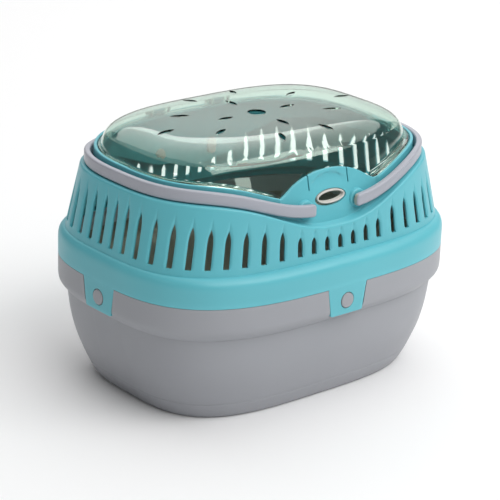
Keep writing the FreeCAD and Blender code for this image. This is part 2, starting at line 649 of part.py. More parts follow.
holes = [Part.makeCylinder(7.2, 30, V(0, 0, 190))]
for sx in (-1, 1):
    holes.append(leaf(sx * 31, 0, 15, 4.8, 0))
    holes.append(leaf(0, sx * 31, 15, 4.8, math.pi / 2))
    holes.append(leaf(sx * 88.5, 0, 16, 4.8, 0))
    for sy in (-1, 1):
        holes.append(leaf(sx * 22, sy * 56, 14, 4.8, math.atan2(sy * 56, sx * 22)))
        holes.append(leaf(sx * 56, sy * 25, 16, 4.8, math.atan2(sy * 25, sx * 56)))
lid = lid.cut(holes)
lid = one(lid, "dome_lid")
save(lid, "dome_lid")

# ---------------------------------------------------------------- latch tongue of the lid
skin = stack(LID[:8]).cut(stack([(150.0,) + LID_IN[0][1:]] + LID_IN[1:8]))
tongue = skin.common(box(-17.0, -95, 154.5, 17.0, -70, TAB_AXIS_Z))
tongue = tongue.fuse(cyl_x(TAB_AXIS_Y, TAB_AXIS_Z, 1.05, -17.0, 17.0))
boss = ellipse_y(14.6, 5.4, LATCH_Z, -88.3, -84.6)
pocket = ellipse_y(13.1, 4.0, LATCH_Z, -89.3, -85.9)
tongue = tongue.fuse(boss).cut(pocket)
tongue = one(tongue, "lid_latch_tongue")
save(tongue, "lid_latch_tongue")
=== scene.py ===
import bpy
import math
import numpy as np
from mathutils import Matrix, Vector
from mathutils.geometry import delaunay_2d_cdt

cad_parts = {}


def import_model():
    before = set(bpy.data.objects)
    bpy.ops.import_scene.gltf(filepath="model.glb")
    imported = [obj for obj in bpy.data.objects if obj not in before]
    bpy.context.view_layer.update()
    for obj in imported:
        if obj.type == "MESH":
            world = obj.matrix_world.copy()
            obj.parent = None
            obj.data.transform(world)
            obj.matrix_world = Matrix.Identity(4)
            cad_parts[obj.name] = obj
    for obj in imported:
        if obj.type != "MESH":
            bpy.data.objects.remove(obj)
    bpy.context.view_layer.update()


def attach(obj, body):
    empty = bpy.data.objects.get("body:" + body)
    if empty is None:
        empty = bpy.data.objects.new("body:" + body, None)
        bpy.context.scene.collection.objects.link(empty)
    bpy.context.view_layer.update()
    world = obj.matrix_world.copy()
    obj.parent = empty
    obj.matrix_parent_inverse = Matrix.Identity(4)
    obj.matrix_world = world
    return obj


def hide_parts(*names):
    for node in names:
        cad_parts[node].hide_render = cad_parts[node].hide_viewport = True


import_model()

MM = 0.001
TAU = 2 * math.pi

# ------------------------------------------------------------------ camera (the photo's view, millimetres)
AZ, EL, ROLL = math.radians(-40.32), math.radians(20.19), math.radians(1.91)
DIST, FOCAL_PX = 1600.0, 2015.34
back = np.array([math.sin(AZ) * math.cos(EL), -math.cos(AZ) * math.cos(EL), math.sin(EL)])
target = np.array([-1.604 * math.cos(AZ), -1.604 * math.sin(AZ), 93.402])
right = np.array([math.cos(AZ), math.sin(AZ), 0.0])
up = np.cross(right, -back)
cam_x = right * math.cos(ROLL) + up * math.sin(ROLL)
cam_y = -right * math.sin(ROLL) + up * math.cos(ROLL)
place = (target + back * DIST) * MM
cam_data = bpy.data.cameras.new("camera")
cam = bpy.data.objects.new("camera", cam_data)
bpy.context.scene.collection.objects.link(cam)
m = Matrix.Identity(4)
for i in range(3):
    m[i][0], m[i][1], m[i][2], m[i][3] = cam_x[i], cam_y[i], back[i], place[i]
cam.matrix_world = m
cam_data.sensor_fit = "HORIZONTAL"
cam_data.sensor_width = 36.0
cam_data.lens = FOCAL_PX * 36.0 / 500.0
cam_data.clip_start = 0.05
cam_data.clip_end = 60.0
bpy.context.scene.camera = cam

# ------------------------------------------------------------------ sizes shared with the construction
WALL, LID_WALL = 2.3, 1.5
COLLAR_A, COLLAR_B, COLLAR_N = 126.4, 90.6, 2.90
SEAT_A, SEAT_B = 124.1, 87.8
LEDGE_A, LEDGE_B = 120.2, 83.8
BAIL_A, BAIL_B, BAIL_N = 131.4, 95.2, 2.85
BAIL_W, BAIL_GRIP, BAIL_END_X = 5.0, 9.7, 20.4
PIVOT_X, PIVOT_Z = 26.0, 157.6
HINGE_X, HINGE_Y, HINGE_Z, LUG_W, LUG_R = 30.5, 88.9, 192.6, 13.0, 2.6
LATCH_Z, OVAL_A, OVAL_B = 163.0, 15.5, 6.2
STUD_Z = 87.5
PLATE = [(0, 183.9), (6, 183.8), (12, 183.2), (19.5, 181.6), (27, 179.2), (33, 176.6), (38, 173.6),
         (42, 171.0), (46, 169.2), (52, 167.6)]


# ------------------------------------------------------------------ curves
class Smooth:
    """Monotone cubic through a table: smooth, and never past the given values."""

    def __init__(self, xs, ys):
        self.x, self.y = np.array(xs, float), np.array(ys, float)
        h = np.diff(self.x)
        d = np.diff(self.y) / h
        s = np.zeros(len(self.x))
        for k in range(1, len(d)):
            if d[k - 1] * d[k] > 0:
                w1, w2 = 2 * h[k] + h[k - 1], h[k] + 2 * h[k - 1]
                s[k] = (w1 + w2) / (w1 / d[k - 1] + w2 / d[k])
        s[0], s[-1] = d[0], d[-1]
        self.s = s

    def __call__(self, q):
        q = np.clip(np.asarray(q, float), self.x[0], self.x[-1])
        k = np.clip(np.searchsorted(self.x, q) - 1, 0, len(self.x) - 2)
        h = self.x[k + 1] - self.x[k]
        t = (q - self.x[k]) / h
        return (self.y[k] * (1 + 2 * t) * (1 - t) ** 2 + h * self.s[k] * t * (1 - t) ** 2 +
                self.y[k + 1] * t * t * (3 - 2 * t) + h * self.s[k + 1] * t * t * (t - 1))


def step(v, lo, hi):
    k = np.clip((v - lo) / (hi - lo), 0, 1)
    return k * k * (3 - 2 * k)


def plan(a, bf, bb, n, t):
    c, s = np.cos(t), np.sin(t)
    b = np.where(s < 0, bf, bb)
    k = (np.abs(c) ** n + np.abs(s) ** n) ** (-1.0 / n)
    return a * c * k, b * s * k


def handle_bottom(x):
    return 174.2 - 21.4 * np.exp(-(np.abs(x) / 75.0) ** 3)


def shelf_z(x, y):
    dip = np.where(y < 0, 6.6, 5.0) * np.exp(-(np.abs(x) / 45.0) ** 2.5)
    return handle_bottom(x) - 0.6 - dip


def rim_z(x, y):
    ax = np.abs(x)
    front = 185.4 - 21.4 * np.exp(-(ax / 70.0) ** 3) * np.maximum(0, 1 - (ax / 127.0) ** 8)
    rear = 185.4 + 3.9 * np.maximum(0, 1 - (ax / 127.0) ** 4)
    return np.where(y < 0, front, rear)


_plate = Smooth([p[0] for p in PLATE], [p[1] for p in PLATE])


def plate_z(x):
    return _plate(np.abs(x))


def centre(x, y):
    return np.where(y < 0, 1 - step(np.abs(x), 45.0, 50.0), 0.0)


def mix(x, y, outside, inside):
    w = centre(x, y)
    return w * inside + (1 - w) * outside


def top_z(x, y):
    return mix(x, y, rim_z(x, y), plate_z(x))


LEAN = Smooth([138, 144, 147, 149.7, 153, 157, 163, 172, 184.5, 192], [94.0, 93.4, 92.7, 91.7, 90.9, 90.1, 88.9, 86.1, 83.2, 81.8])


# ------------------------------------------------------------------ mesh building
def make(name, verts, faces, mats, body, node=None, angle=32.0, face_mat=None, recalc=True):
    """One piece: vertices in millimetres, faces as index lists."""
    me = bpy.data.meshes.new(name)
    me.from_pydata([tuple(v) for v in (np.asarray(verts, float) * MM)], [], faces)
    me.validate()
    if recalc:
        import bmesh
        bm = bmesh.new()
        bm.from_mesh(me)
        bmesh.ops.remove_doubles(bm, verts=bm.verts, dist=1e-7)
        bmesh.ops.recalc_face_normals(bm, faces=bm.faces)
        bm.to_mesh(me)
        bm.free()
    me.polygons.foreach_set("use_smooth", [True] * len(me.polygons))
    me.set_sharp_from_angle(angle=math.radians(angle))
    for mat in mats:
        me.materials.append(mat)
    ob = bpy.data.objects.new(name, me)
    bpy.context.scene.collection.objects.link(ob)
    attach(ob, body)
    if node:
        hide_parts(*([node] if isinstance(node, str) else node))
    return ob


class Soup:
    def __init__(self):
        self.v, self.f, self.n = [], [], 0

    def add(self, verts, faces):
        verts = np.asarray(verts, float).reshape(-1, 3)
        self.v.append(verts)
        self.f += [[i + self.n for i in f] for f in faces]
        self.n += len(verts)
        return self

    def verts(self):
        return np.vstack(self.v)


def grid_faces(rows, cols, wrap_c=True, wrap_r=False, skip=None, base=0):
    out = []
    for r in range(rows if wrap_r else rows - 1):
        r2 = (r + 1) % rows
        for c in range(cols if wrap_c else cols - 1):
            if skip is not None and skip(r, c):
                continue
            c2 = (c + 1) % cols
            out.append([base + r * cols + c, base + r * cols + c2, base + r2 * cols + c2, base + r2 * cols + c])
    return out


def lathe(profile, centre_pt, axis, seg=40, closed_ends=True):
    """Turned shape: profile is (radius, distance along axis)."""
    axis = np.array(axis, float)
    axis /= np.linalg.norm(axis)
    ref = np.array([0, 0, 1.0]) if abs(axis[2]) < 0.9 else np.array([1.0, 0, 0])
    e1 = np.cross(axis, ref)
    e1 /= np.linalg.norm(e1)
    e2 = np.cross(axis, e1)
    ang = np.arange(seg) * TAU / seg
    v = []
    for r, d in profile:
        for a in ang:
            v.append(np.array(centre_pt) + axis * d + (e1 * math.cos(a) + e2 * math.sin(a)) * r)
    f = grid_faces(len(profile), seg)
    if closed_ends:
        f.append([i for i in range(seg)][::-1])
        f.append([(len(profile) - 1) * seg + i for i in range(seg)])
    return np.array(v), f


def slab(outline, axis, d0, d1, bevel=0.35):
    """Closed outline (two coordinates) pushed along an axis, with small rounded edges."""
    o = np.array(outline, float)
    n = len(o)
    area = 0.5 * np.sum(o[:, 0] * np.roll(o[:, 1], -1) - np.roll(o[:, 0], -1) * o[:, 1])
    if area < 0:
        o = o[::-1]
    e = np.roll(o, -1, 0) - o
    nn = np.stack([e[:, 1], -e[:, 0]], 1)
    nn /= np.linalg.norm(nn, axis=1)[:, None] + 1e-12
    vn = nn + np.roll(nn, 1, 0)
    vn /= (np.linalg.norm(vn, axis=1)[:, None] + 1e-12)
    cosang = np.clip(np.sum(vn * nn, axis=1), 0.35, 1)
    rings = []
    s = 1 if d1 > d0 else -1
    for k in (0.0, 0.3, 0.65, 1.0):
        rings.append((bevel * (1 - math.sin(k * math.pi / 2)), d0 + s * bevel * (1 - math.cos(k * math.pi / 2))))
    rings += [(i, d0 + d1 - d) for i, d in rings[::-1]]
    v = []
    for inset, d in rings:
        q = o - vn * (inset / cosang)[:, None]
        for a, b in q:
            v.append((d, a, b) if axis == "x" else (a, d, b) if axis == "y" else (a, b, d))
    f = grid_faces(len(rings), n)
    f.append(list(range(n))[::-1])
    f.append([(len(rings) - 1) * n + i for i in range(n)])
    return np.array(v), f


# ------------------------------------------------------------------ materials
def new_mat(name):
    mat = bpy.data.materials.new(name)
    mat.use_nodes = True
    nt = mat.node_tree
    bsdf = next(n for n in nt.nodes if n.type == "BSDF_PRINCIPLED")
    return mat, nt, bsdf


def plastic(name, base, dark, light, rough, grain=0.00004, grain_scale=2600.0, wear=0.35, spec=0.5, mottle=7.0):
    """Moulded plastic: slow colour drift, fine tool grain, handling marks in gloss."""
    mat, nt, b = new_mat(name)
    N, L = nt.nodes, nt.links
    tc = N.new("ShaderNodeTexCoord")
    drift = N.new("ShaderNodeTexNoise")
    drift.inputs["Scale"].default_value = mottle
    drift.inputs["Detail"].default_value = 3.0
    drift.inputs["Roughness"].default_value = 0.45
    L.new(tc.outputs["Object"], drift.inputs["Vector"])
    ramp = N.new("ShaderNodeValToRGB")
    ramp.color_ramp.elements[0].position = 0.30
    ramp.color_ramp.elements[0].color = (*dark, 1)
    ramp.color_ramp.elements[1].position = 0.72
    ramp.color_ramp.elements[1].color = (*light, 1)
    mid = ramp.color_ramp.elements.new(0.5)
    mid.color = (*base, 1)
    L.new(drift.outputs["Fac"], ramp.inputs["Fac"])
    # wear: narrow convex edges go a little paler
    geo = N.new("ShaderNodeNewGeometry")
    edge = N.new("ShaderNodeMapRange")
    edge.inputs["From Min"].default_value = 0.515
    edge.inputs["From Max"].default_value = 0.62
    L.new(geo.outputs["Pointiness"], edge.inputs["Value"])
    patch = N.new("ShaderNodeTexNoise")
    patch.inputs["Scale"].default_value = 55.0
    patch.inputs["Detail"].default_value = 5.0
    L.new(tc.outputs["Object"], patch.inputs["Vector"])
    mul = N.new("ShaderNodeMath")
    mul.operation = "MULTIPLY"
    L.new(edge.outputs["Result"], mul.inputs[0])
    L.new(patch.outputs["Fac"], mul.inputs[1])
    mul2 = N.new("ShaderNodeMath")
    mul2.operation = "MULTIPLY"
    mul2.inputs[1].default_value = wear
    L.new(mul.outputs[0], mul2.inputs[0])
    worn = N.new("ShaderNodeMixRGB")
    worn.blend_type = "MIX"
    worn.inputs["Color2"].default_value = (*[min(1.0, c * 1.25 + 0.05) for c in light], 1)
    L.new(mul2.outputs[0], worn.inputs["Fac"])
    L.new(ramp.outputs["Color"], worn.inputs["Color1"])
    L.new(worn.outputs["Color"], b.inputs["Base Color"])
    # gloss varies where hands and stacking have rubbed it
    smear = N.new("ShaderNodeTexNoise")
    smear.inputs["Scale"].default_value = 24.0
    smear.inputs["Detail"].default_value = 6.0
    smear.inputs["Roughness"].default_value = 0.6
    smear.inputs["Distortion"].default_value = 0.4
    L.new(tc.outputs["Object"], smear.inputs["Vector"])
    rr = N.new("ShaderNodeMapRange")
    rr.inputs["From Min"].default_value = 0.3
    rr.inputs["From Max"].default_value = 0.7
    rr.inputs["To Min"].default_value = rough - 0.05
    rr.inputs["To Max"].default_value = rough + 0.07
    L.new(smear.outputs["Fac"], rr.inputs["Value"])
    L.new(rr.outputs["Result"], b.inputs["Roughness"])
    # tool grain and faint sink waviness
    g = N.new("ShaderNodeTexNoise")
    g.inputs["Scale"].default_value = grain_scale
    g.inputs["Detail"].default_value = 2.0
    L.new(tc.outputs["Object"], g.inputs["Vector"])
    wave = N.new("ShaderNodeTexNoise")
    wave.inputs["Scale"].default_value = 18.0
    wave.inputs["Detail"].default_value = 1.0
    L.new(tc.outputs["Object"], wave.inputs["Vector"])
    b1 = N.new("ShaderNodeBump")
    b1.inputs["Strength"].default_value = 1.0
    b1.inputs["Distance"].default_value = 0.0007
    L.new(wave.outputs["Fac"], b1.inputs["Height"])
    b2 = N.new("ShaderNodeBump")
    b2.inputs["Strength"].default_value = 0.6
    b2.inputs["Distance"].default_value = grain
    L.new(g.outputs["Fac"], b2.inputs["Height"])
    L.new(b1.outputs["Normal"], b2.inputs["Normal"])
    L.new(b2.outputs["Normal"], b.inputs["Normal"])
    b.inputs["Specular IOR Level"].default_value = spec
    b.inputs["IOR"].default_value = 1.49
    return mat


def clear(name, tint, rough, ripple=0.00025):
    mat, nt, b = new_mat(name)
    N, L = nt.nodes, nt.links
    tc = N.new("ShaderNodeTexCoord")
    b.inputs["Transmission Weight"].default_value = 1.0
    b.inputs["IOR"].default_value = 1.57
    b.inputs["Coat Weight"].default_value = 0.4
    b.inputs["Coat IOR"].default_value = 1.5
    b.inputs["Coat Roughness"].default_value = 0.02
    b.inputs["Coat Tint"].default_value = (0.98, 1.0, 0.95, 1)
    b.inputs["Specular Tint"].default_value = (0.86, 1.0, 0.88, 1)
    n1 = N.new("ShaderNodeTexNoise")
    n1.inputs["Scale"].default_value = 9.0
    n1.inputs["Detail"].default_value = 2.0
    L.new(tc.outputs["Object"], n1.inputs["Vector"])
    ramp = N.new("ShaderNodeValToRGB")
    ramp.color_ramp.elements[0].color = (*[c * 0.97 for c in tint], 1)
    ramp.color_ramp.elements[1].color = (*tint, 1)
    L.new(n1.outputs["Fac"], ramp.inputs["Fac"])
    L.new(ramp.outputs["Color"], b.inputs["Base Color"])
    # fine rub marks in the gloss
    s = N.new("ShaderNodeTexNoise")
    s.inputs["Scale"].default_value = 70.0
    s.inputs["Detail"].default_value = 8.0
    s.inputs["Distortion"].default_value = 1.2
    L.new(tc.outputs["Object"], s.inputs["Vector"])
    rr = N.new("ShaderNodeMapRange")
    rr.inputs["From Min"].default_value = 0.45
    rr.inputs["From Max"].default_value = 0.75
    rr.inputs["To Min"].default_value = rough
    rr.inputs["To Max"].default_value = rough + 0.05
    L.new(s.outputs["Fac"], rr.inputs["Value"])
    L.new(rr.outputs["Result"], b.inputs["Roughness"])
    bump = N.new("ShaderNodeBump")
    bump.inputs["Strength"].default_value = 0.5
    bump.inputs["Distance"].default_value = ripple
    w = N.new("ShaderNodeTexNoise")
    w.inputs["Scale"].default_value = 13.0
    w.inputs["Detail"].default_value = 1.0
    L.new(tc.outputs["Object"], w.inputs["Vector"])
    L.new(w.outputs["Fac"], bump.inputs["Height"])
    L.new(bump.outputs["Normal"], b.inputs["Normal"])
    return mat


TURQ = plastic("turquoise_plastic", (0.117, 0.482, 0.552), (0.109, 0.457, 0.527), (0.127, 0.507, 0.577), 0.36)
GREY = plastic("grey_plastic", (0.335, 0.345, 0.372), (0.318, 0.327, 0.355), (0.352, 0.361, 0.388), 0.42)
# darker brownish grey for the inside of the tub: painted shade, the cavity drawn as if it lay in shadow
GREY_INSIDE_PAINTED_SHADE = plastic("grey_plastic_inside_painted_shade", (0.250, 0.232, 0.190), (0.215, 0.200, 0.165), (0.280, 0.262, 0.215), 0.55)
LILAC = plastic("handle_plastic", (0.385, 0.395, 0.445), (0.365, 0.375, 0.425), (0.405, 0.415, 0.465), 0.33)
# cream tone for the handle ends and pivot discs: painted warm light, standing in for the lit inner wall of the handle
CREAM_PAINTED_WARM_LIGHT = plastic("handle_end_painted_warm_light", (0.50, 0.45, 0.38), (0.46, 0.41, 0.35), (0.54, 0.49, 0.42), 0.45)
CLEAR = clear("clear_plastic", (0.82, 0.98, 0.93), 0.015)
# pale opaque grey for the clear latch boss: painted light, standing in for the bright rim of its thick clear edge
BOSS_RIM_PAINTED_GLOW = plastic("clear_boss_painted_bright_rim", (0.60, 0.58, 0.54), (0.55, 0.53, 0.49), (0.66, 0.64, 0.60), 0.24, spec=0.7)

# ------------------------------------------------------------------ vent slots of the shell
SA, SB, SN = 144.6, 103.4, 3.18
SLOT_BOTTOM, SLOT_HALF = 126.8, 2.3
FLUTE_HALF, FLUTE_RISE, FLUTE_DEPTH = 3.75, 8.5, 1.0
SLOTS = [("x", 0.0, 137.8, 141.8), ("x", 13.1, 138.2, 142.0), ("x", 26.3, 139.8, 143.2), ("x", 39.7, 141.8, 147.0),
         ("x", 56.5, 148.6, 152.6), ("x", 72.4, 150.8, 155.6), ("x", 87.7, 152.6, 157.6), ("x", 101.5, 154.2, 158.2),
         ("x", 113.8, 156.0, 158.6), ("x", 125.0, 157.6, 158.8), ("x", 133.8, 158.8, 159.2),
         ("y", 49.8, 160.2, 160.2), ("y", 34.6, 162.0, 162.0), ("y", 20.6, 163.8, 163.8), ("y", 6.8, 164.2, 164.2)]
slot_list = []
for kind, d, tf, tb in SLOTS:
    if kind == "x":
        x, y = d, SB * (1 - (d / SA) ** SN) ** (1 / SN)
    else:
        x, y = SA * (1 - (d / SB) ** SN) ** (1 / SN), d
    for sy, top in ((-1, tf), (1, tb)):
        for sx in ((1,) if x == 0 else (1, -1)):
            t = math.atan2(sy * y / SB, sx * x / SA) % TAU
            slot_list.append((t, top))
slot_list.sort()
ts = np.array([s[0] for s in slot_list])
tops = np.array([s[1] for s in slot_list])
NS = len(ts)
eps = 1e-4
x1, y1 = plan(SA, SB, SB, SN, ts - eps)
x2, y2 = plan(SA, SB, SB, SN, ts + eps)
speed = np.hypot(x2 - x1, y2 - y1) / (2 * eps)          # mm per radian at each slot
gap_next = (np.roll(ts, -1) - ts) % TAU
gap_prev = np.roll(gap_next, 1)
half_next = gap_next / 2 * speed
half_prev = gap_prev / 2 * speed


def slot_half(z):
    """Half width of each slot at height z (rows) for every slot (columns)."""
    h = np.clip((z - SLOT_BOTTOM) / (tops[None, :] - SLOT_BOTTOM), 0, 1)
    return SLOT_HALF * (1 - np.clip((h - 0.55) / 0.45, 0, 1) ** 2.7) + 0.05


def flute_half(z, room):
    top = tops[None, :] + FLUTE_RISE
    h = np.clip((z - SLOT_BOTTOM) / (top - SLOT_BOTTOM), 0, 1)
    return np.minimum(FLUTE_HALF, 0.80 * room)[None, :] * (1 - np.clip((h - 0.42) / 0.58, 0, 1) ** 1.7) + 0.12


# column plan: per slot, fractions on the way from the centre to the middle of the web
LEFT = [("web", 0.5), ("flute", 1.12), ("mix", 0.88), ("mix", 0.5), ("mix", 0.16), ("slot", 1.0)]


def column_angles(z_at):
    """Angles of all columns for a row whose height at each slot is z_at (array of NS)."""
    z = np.asarray(z_at, float)[None, :] if np.ndim(z_at) else np.full((1, NS), float(z_at))
    w = slot_half(z)[0]
    cols = []
    wl, wr = flute_half(z, half_prev)[0], flute_half(z, half_next)[0]

    def off(kind, k, wf, room):
        if kind == "web":
            return room
        if kind == "flute":
            return wf + (room - wf) * 0.16
        if kind == "mix":
            return w + (np.maximum(wf, w + 0.1) - w) * k
        return w
    out = []
    for kind, k in LEFT:
        out.append(ts - off(kind, k, wl, half_prev) / speed)
    out.append(ts.copy())
    for kind, k in LEFT[::-1][:-1]:
        out.append(ts + off(kind, k, wr, half_next) / speed)
    return np.stack(out, 1).reshape(-1)     # NS * 12, in order


NC = NS * 12
# offsets of each column from its slot centre are needed again for the flute depth


def slot_heights(v, z_lo, top_fn, col_t):
    return z_lo + (top_fn - z_lo) * v


WALL_A = Smooth([112.5, 116.5, 119.2, 121.2, 122.6, 140, 160, 185], [150.0, 149.6, 148.6, 147.2, 145.4, 142.25, 138.62, 134.09])


def out_abn(z):
    z = np.asarray(z, float)
    k = np.clip((z - 122.6) / (180.0 - 122.6), 0, 1.2)
    return 145.4 - 10.4 * k, 103.9 - 4.9 * k, 3.20 - 0.37 * k


def in_abn(z):
    z = np.asarray(z, float)
    k = np.clip((z - 120.2) / (180.0 - 120.2), 0, 1.2)
    return 143.1 - 10.5 * k, 101.6 - 5.0 * k, 3.20 - 0.37 * k


def wall_row(t, zfn, abn, shrink=0.0):
    a, b, n = abn(165.0)
    x, y = plan(a, b, b, n, t)
    for _ in range(4):
        z = zfn(x, y)
        a, b, n = abn(z)
        x, y = plan(a - shrink, b - shrink, b - shrink, n, t)
    return np.stack([x, y, zfn(x, y) + 0 * x], 1)


def collar_row(t, zfn, depth, seat=None):
    x, y = plan(COLLAR_A - depth, COLLAR_B - depth, COLLAR_B - depth, COLLAR_N, t)
    z = zfn(x, y)
    w = centre(x, y)
    b = w * (LEAN(z) - depth) + (1 - w) * (COLLAR_B - depth)
    x2, y2 = plan(COLLAR_A - depth, b, COLLAR_B - depth, COLLAR_N, t)
    if seat is not None:
        x3, y3 = plan(LEDGE_A, LEDGE_B, LEDGE_B, COLLAR_N, t)
        x2, y2 = x2 + (x3 - x2) * (1 - w) * seat, y2 + (y3 - y2) * (1 - w) * seat
        z = zfn(x2, y2)
    return np.stack([x2, y2, z + 0 * x2], 1)


def level_row(t, z, a, b, n):
    x, y = plan(a, b, b, n, t)
    return np.stack([x, y, np.full_like(x, z)], 1)


# --- rows of the shell, bottom of the skirt outside first
foot_t = column_angles(SLOT_BOTTOM)
rows, tags = [], []


def push(r, tag=""):
    rows.append(r)
    tags.append(tag)


shoulder = [(99.5, 150.0, 113.0, 3.07), (103.5, 150.0, 113.0, 3.07), (108.0, 150.0, 113.0, 3.07),
            (112.0, 150.0, 113.0, 3.07), (113.6, 149.97, 112.95, 3.07), (115.2, 149.85, 112.7, 3.07), (116.6, 149.6, 112.2, 3.08),
            (117.8, 149.25, 111.5, 3.09), (118.9, 148.75, 110.6, 3.10), (119.9, 148.1, 109.4, 3.12),
            (120.7, 147.45, 108.1, 3.135), (121.3, 146.85, 106.9, 3.15), (121.6, 146.3, 105.8, 3.17),
            (121.72, 145.85, 104.9, 3.19), (121.72, 145.5, 104.2, 3.20), (122.3, 145.42, 103.95, 3.20), (123.2, 145.3, 103.85, 3.197)]
for q in shoulder:
    push(level_row(foot_t, *q))
for z in (124.4, 125.4, 126.3):
    a, b, n = out_abn(z)
    push(level_row(foot_t, z, a, b, n), "flute")
# slotted rows
NV = 46
z_top_slot = None
tx, ty = plan(138.0, 100.3, 100.3, 2.95, ts)
slot_shelf = shelf_z(tx, ty) - 3.0
SLOT_ROWS = []
for j in range(NV + 1):
    v = j / NV
    zs = SLOT_BOTTOM + (slot_shelf - SLOT_BOTTOM) * v
    tcol = column_angles(zs)
    fn = (lambda x, y, v=v: SLOT_BOTTOM + (shelf_z(x, y) - 3.0 - SLOT_BOTTOM) * v)
    SLOT_ROWS.append((tcol, fn))
    push(wall_row(tcol, fn, out_abn), "slot")
last_t = SLOT_ROWS[-1][0]
first_slot_row = tags.index("slot")
last_slot_row = len(tags) - 1
for dz, sh in ((-2.0, 0.0), (-1.3, 0.05), (-0.75, 0.25), (-0.35, 0.6), (-0.1, 1.1), (0.0, 1.8)):
    push(wall_row(last_t, lambda x, y, dz=dz: shelf_z(x, y) + dz, out_abn, sh))
edge_row = rows[-1]
inner_row = collar_row(last_t, lambda x, y: shelf_z(x, y), -0.35)
groove = np.where(edge_row[:, 1] < 0, 1 - step(np.abs(edge_row[:, 0]), 40.0, 70.0), 0.0)
for k, dz in ((0.02, -0.1), (0.06, -1.0), (0.11, -1.9), (0.22, -2.1), (0.36, -1.7), (0.6, -0.9), (0.85, -0.1)):
    q = edge_row * (1 - k) + inner_row * k
    q[:, 2] += dz * groove
    push(q)
push(inner_row)
for dz, dep in ((0.04, -0.18), (0.16, -0.05), (0.4, 0.0)):
    push(collar_row(last_t, lambda x, y, dz=dz: shelf_z(x, y) + dz, dep))
NCOL = 40
for k in range(1, NCOL + 1):
    f = k / NCOL
    push(collar_row(last_t, lambda x, y, f=f: shelf_z(x, y) + 0.4 + (top_z(x, y) - 0.9 - shelf_z(x, y) - 0.4) * f, 0.0), "face")
for dz, dep in ((-0.42, 0.1), (-0.12, 0.38), (0.0, 0.85), (0.0, WALL - 0.85), (-0.12, WALL - 0.38), (-0.42, WALL - 0.1), (-0.9, WALL)):
    push(collar_row(last_t, lambda x, y, dz=dz: top_z(x, y) + dz, dep))
push(collar_row(last_t, lambda x, y: mix(x, y, rim_z(x, y) - 1.7, (top_z(x, y) + 166.0) / 2), WALL))
push(collar_row(last_t, lambda x, y: mix(x, y, rim_z(x, y) - 2.4, 166.0), WALL))
push(collar_row(last_t, lambda x, y: mix(x, y, rim_z(x, y) - 2.4, 163.5), WALL, 0.5))
push(collar_row(last_t, lambda x, y: mix(x, y, rim_z(x, y) - 2.45, 163.5), WALL, 0.94))
push(collar_row(last_t, lambda x, y: mix(x, y, rim_z(x, y) - 2.8, 163.2), WALL, 1.0))
push(collar_row(last_t, lambda x, y: mix(x, y, rim_z(x, y) - 4.3, 161.0), WALL, 1.0))
push(collar_row(last_t, lambda x, y: mix(x, y, rim_z(x, y) - 4.8, 160.0), WALL, 0.8))
push(collar_row(last_t, lambda x, y: mix(x, y, rim_z(x, y) - 5.8, 157.5), WALL))
for f in (0.3, 0.65):
    push(collar_row(last_t, lambda x, y, f=f: mix(x, y, rim_z(x, y) - 5.8, 157.5) * (1 - f) + (shelf_z(x, y) - WALL) * f, WALL))
push(collar_row(last_t, lambda x, y: shelf_z(x, y) - WALL, WALL))
push(wall_row(last_t, lambda x, y: shelf_z(x, y) - WALL - 0.1, in_abn, 0.8))
first_inner = len(rows)
for j in range(NV, -1, -1):
    tcol, fn = SLOT_ROWS[j]
    push(wall_row(tcol, fn, in_abn), "islot")
for q in [(124.0, 142.6, 101.1, 3.20), (120.2, 143.1, 101.6, 3.20), (118.4, 145.4, 106.8, 3.12), (116.0, 147.0, 109.6, 3.08),
          (112.5, 147.6, 110.6, 3.07), (106.0, 147.6, 110.6, 3.07), (99.5, 147.6, 110.6, 3.07)]:
    push(level_row(foot_t, *q))
P = np.stack(rows)                                     # rows x columns x 3
NR = len(rows)

# the inner skin lies square behind the outer one, so that every slot is cut straight through
BASE = P.copy()
# flutes: shallow lancet scoops round the slots, pressed into the outer wall
normal_in = np.zeros_like(P)
dc = np.roll(P, -1, 1) - np.roll(P, 1, 1)
dr = np.empty_like(P)
dr[1:-1] = P[2:] - P[:-2]
dr[0], dr[-1] = P[1] - P[0], P[-1] - P[-2]
nrm = np.cross(dc, dr)
nrm /= np.linalg.norm(nrm, axis=2)[:, :, None] + 1e-12
slot_of = np.repeat(np.arange(NS), 12)
for r in range(NR):
    if tags[r] not in ("slot", "flute"):
        continue
    z = P[r, :, 2]
    j = r - first_slot_row
    tcol = foot_t if j < 0 else SLOT_ROWS[j][0]
    q = ((tcol - ts[slot_of] + math.pi) % TAU - math.pi) * speed[slot_of]
    zz = np.maximum(z, SLOT_BOTTOM)
    h0 = np.clip((zz - SLOT_BOTTOM) / (tops[slot_of] - SLOT_BOTTOM), 0, 1)
    w = SLOT_HALF * (1 - np.clip((h0 - 0.55) / 0.45, 0, 1) ** 2.7) + 0.05
    room = np.where(q < 0, half_prev[slot_of], half_next[slot_of])
    hh = np.clip((zz - SLOT_BOTTOM) / (tops[slot_of] + FLUTE_RISE - SLOT_BOTTOM), 0, 1)
    wf = np.minimum(FLUTE_HALF, 0.80 * room) * (1 - np.clip((hh - 0.42) / 0.58, 0, 1) ** 1.7) + 0.12
    k = np.clip((np.abs(q) - w) / np.maximum(wf - w, 0.05), 0, 1)
    fade = step(z, 126.6, 128.6) * (1 - step(hh, 0.72, 1.0))
    d = FLUTE_DEPTH * (1 - k) ** 1.1 * fade
    d = np.where(hh >= 1, 0, d)
    P[r] -= nrm[r] * np.sign((nrm[r][:, :2] * P[r][:, :2]).sum(1))[:, None] * d[:, None]
for j in range(NV + 1):
    ro, ri = first_slot_row + j, first_inner + NV - j
    sg = np.sign((nrm[ro][:, :2] * BASE[ro][:, :2]).sum(1))[:, None]
    P[ri] = BASE[ro] - nrm[ro] * sg * 2.2
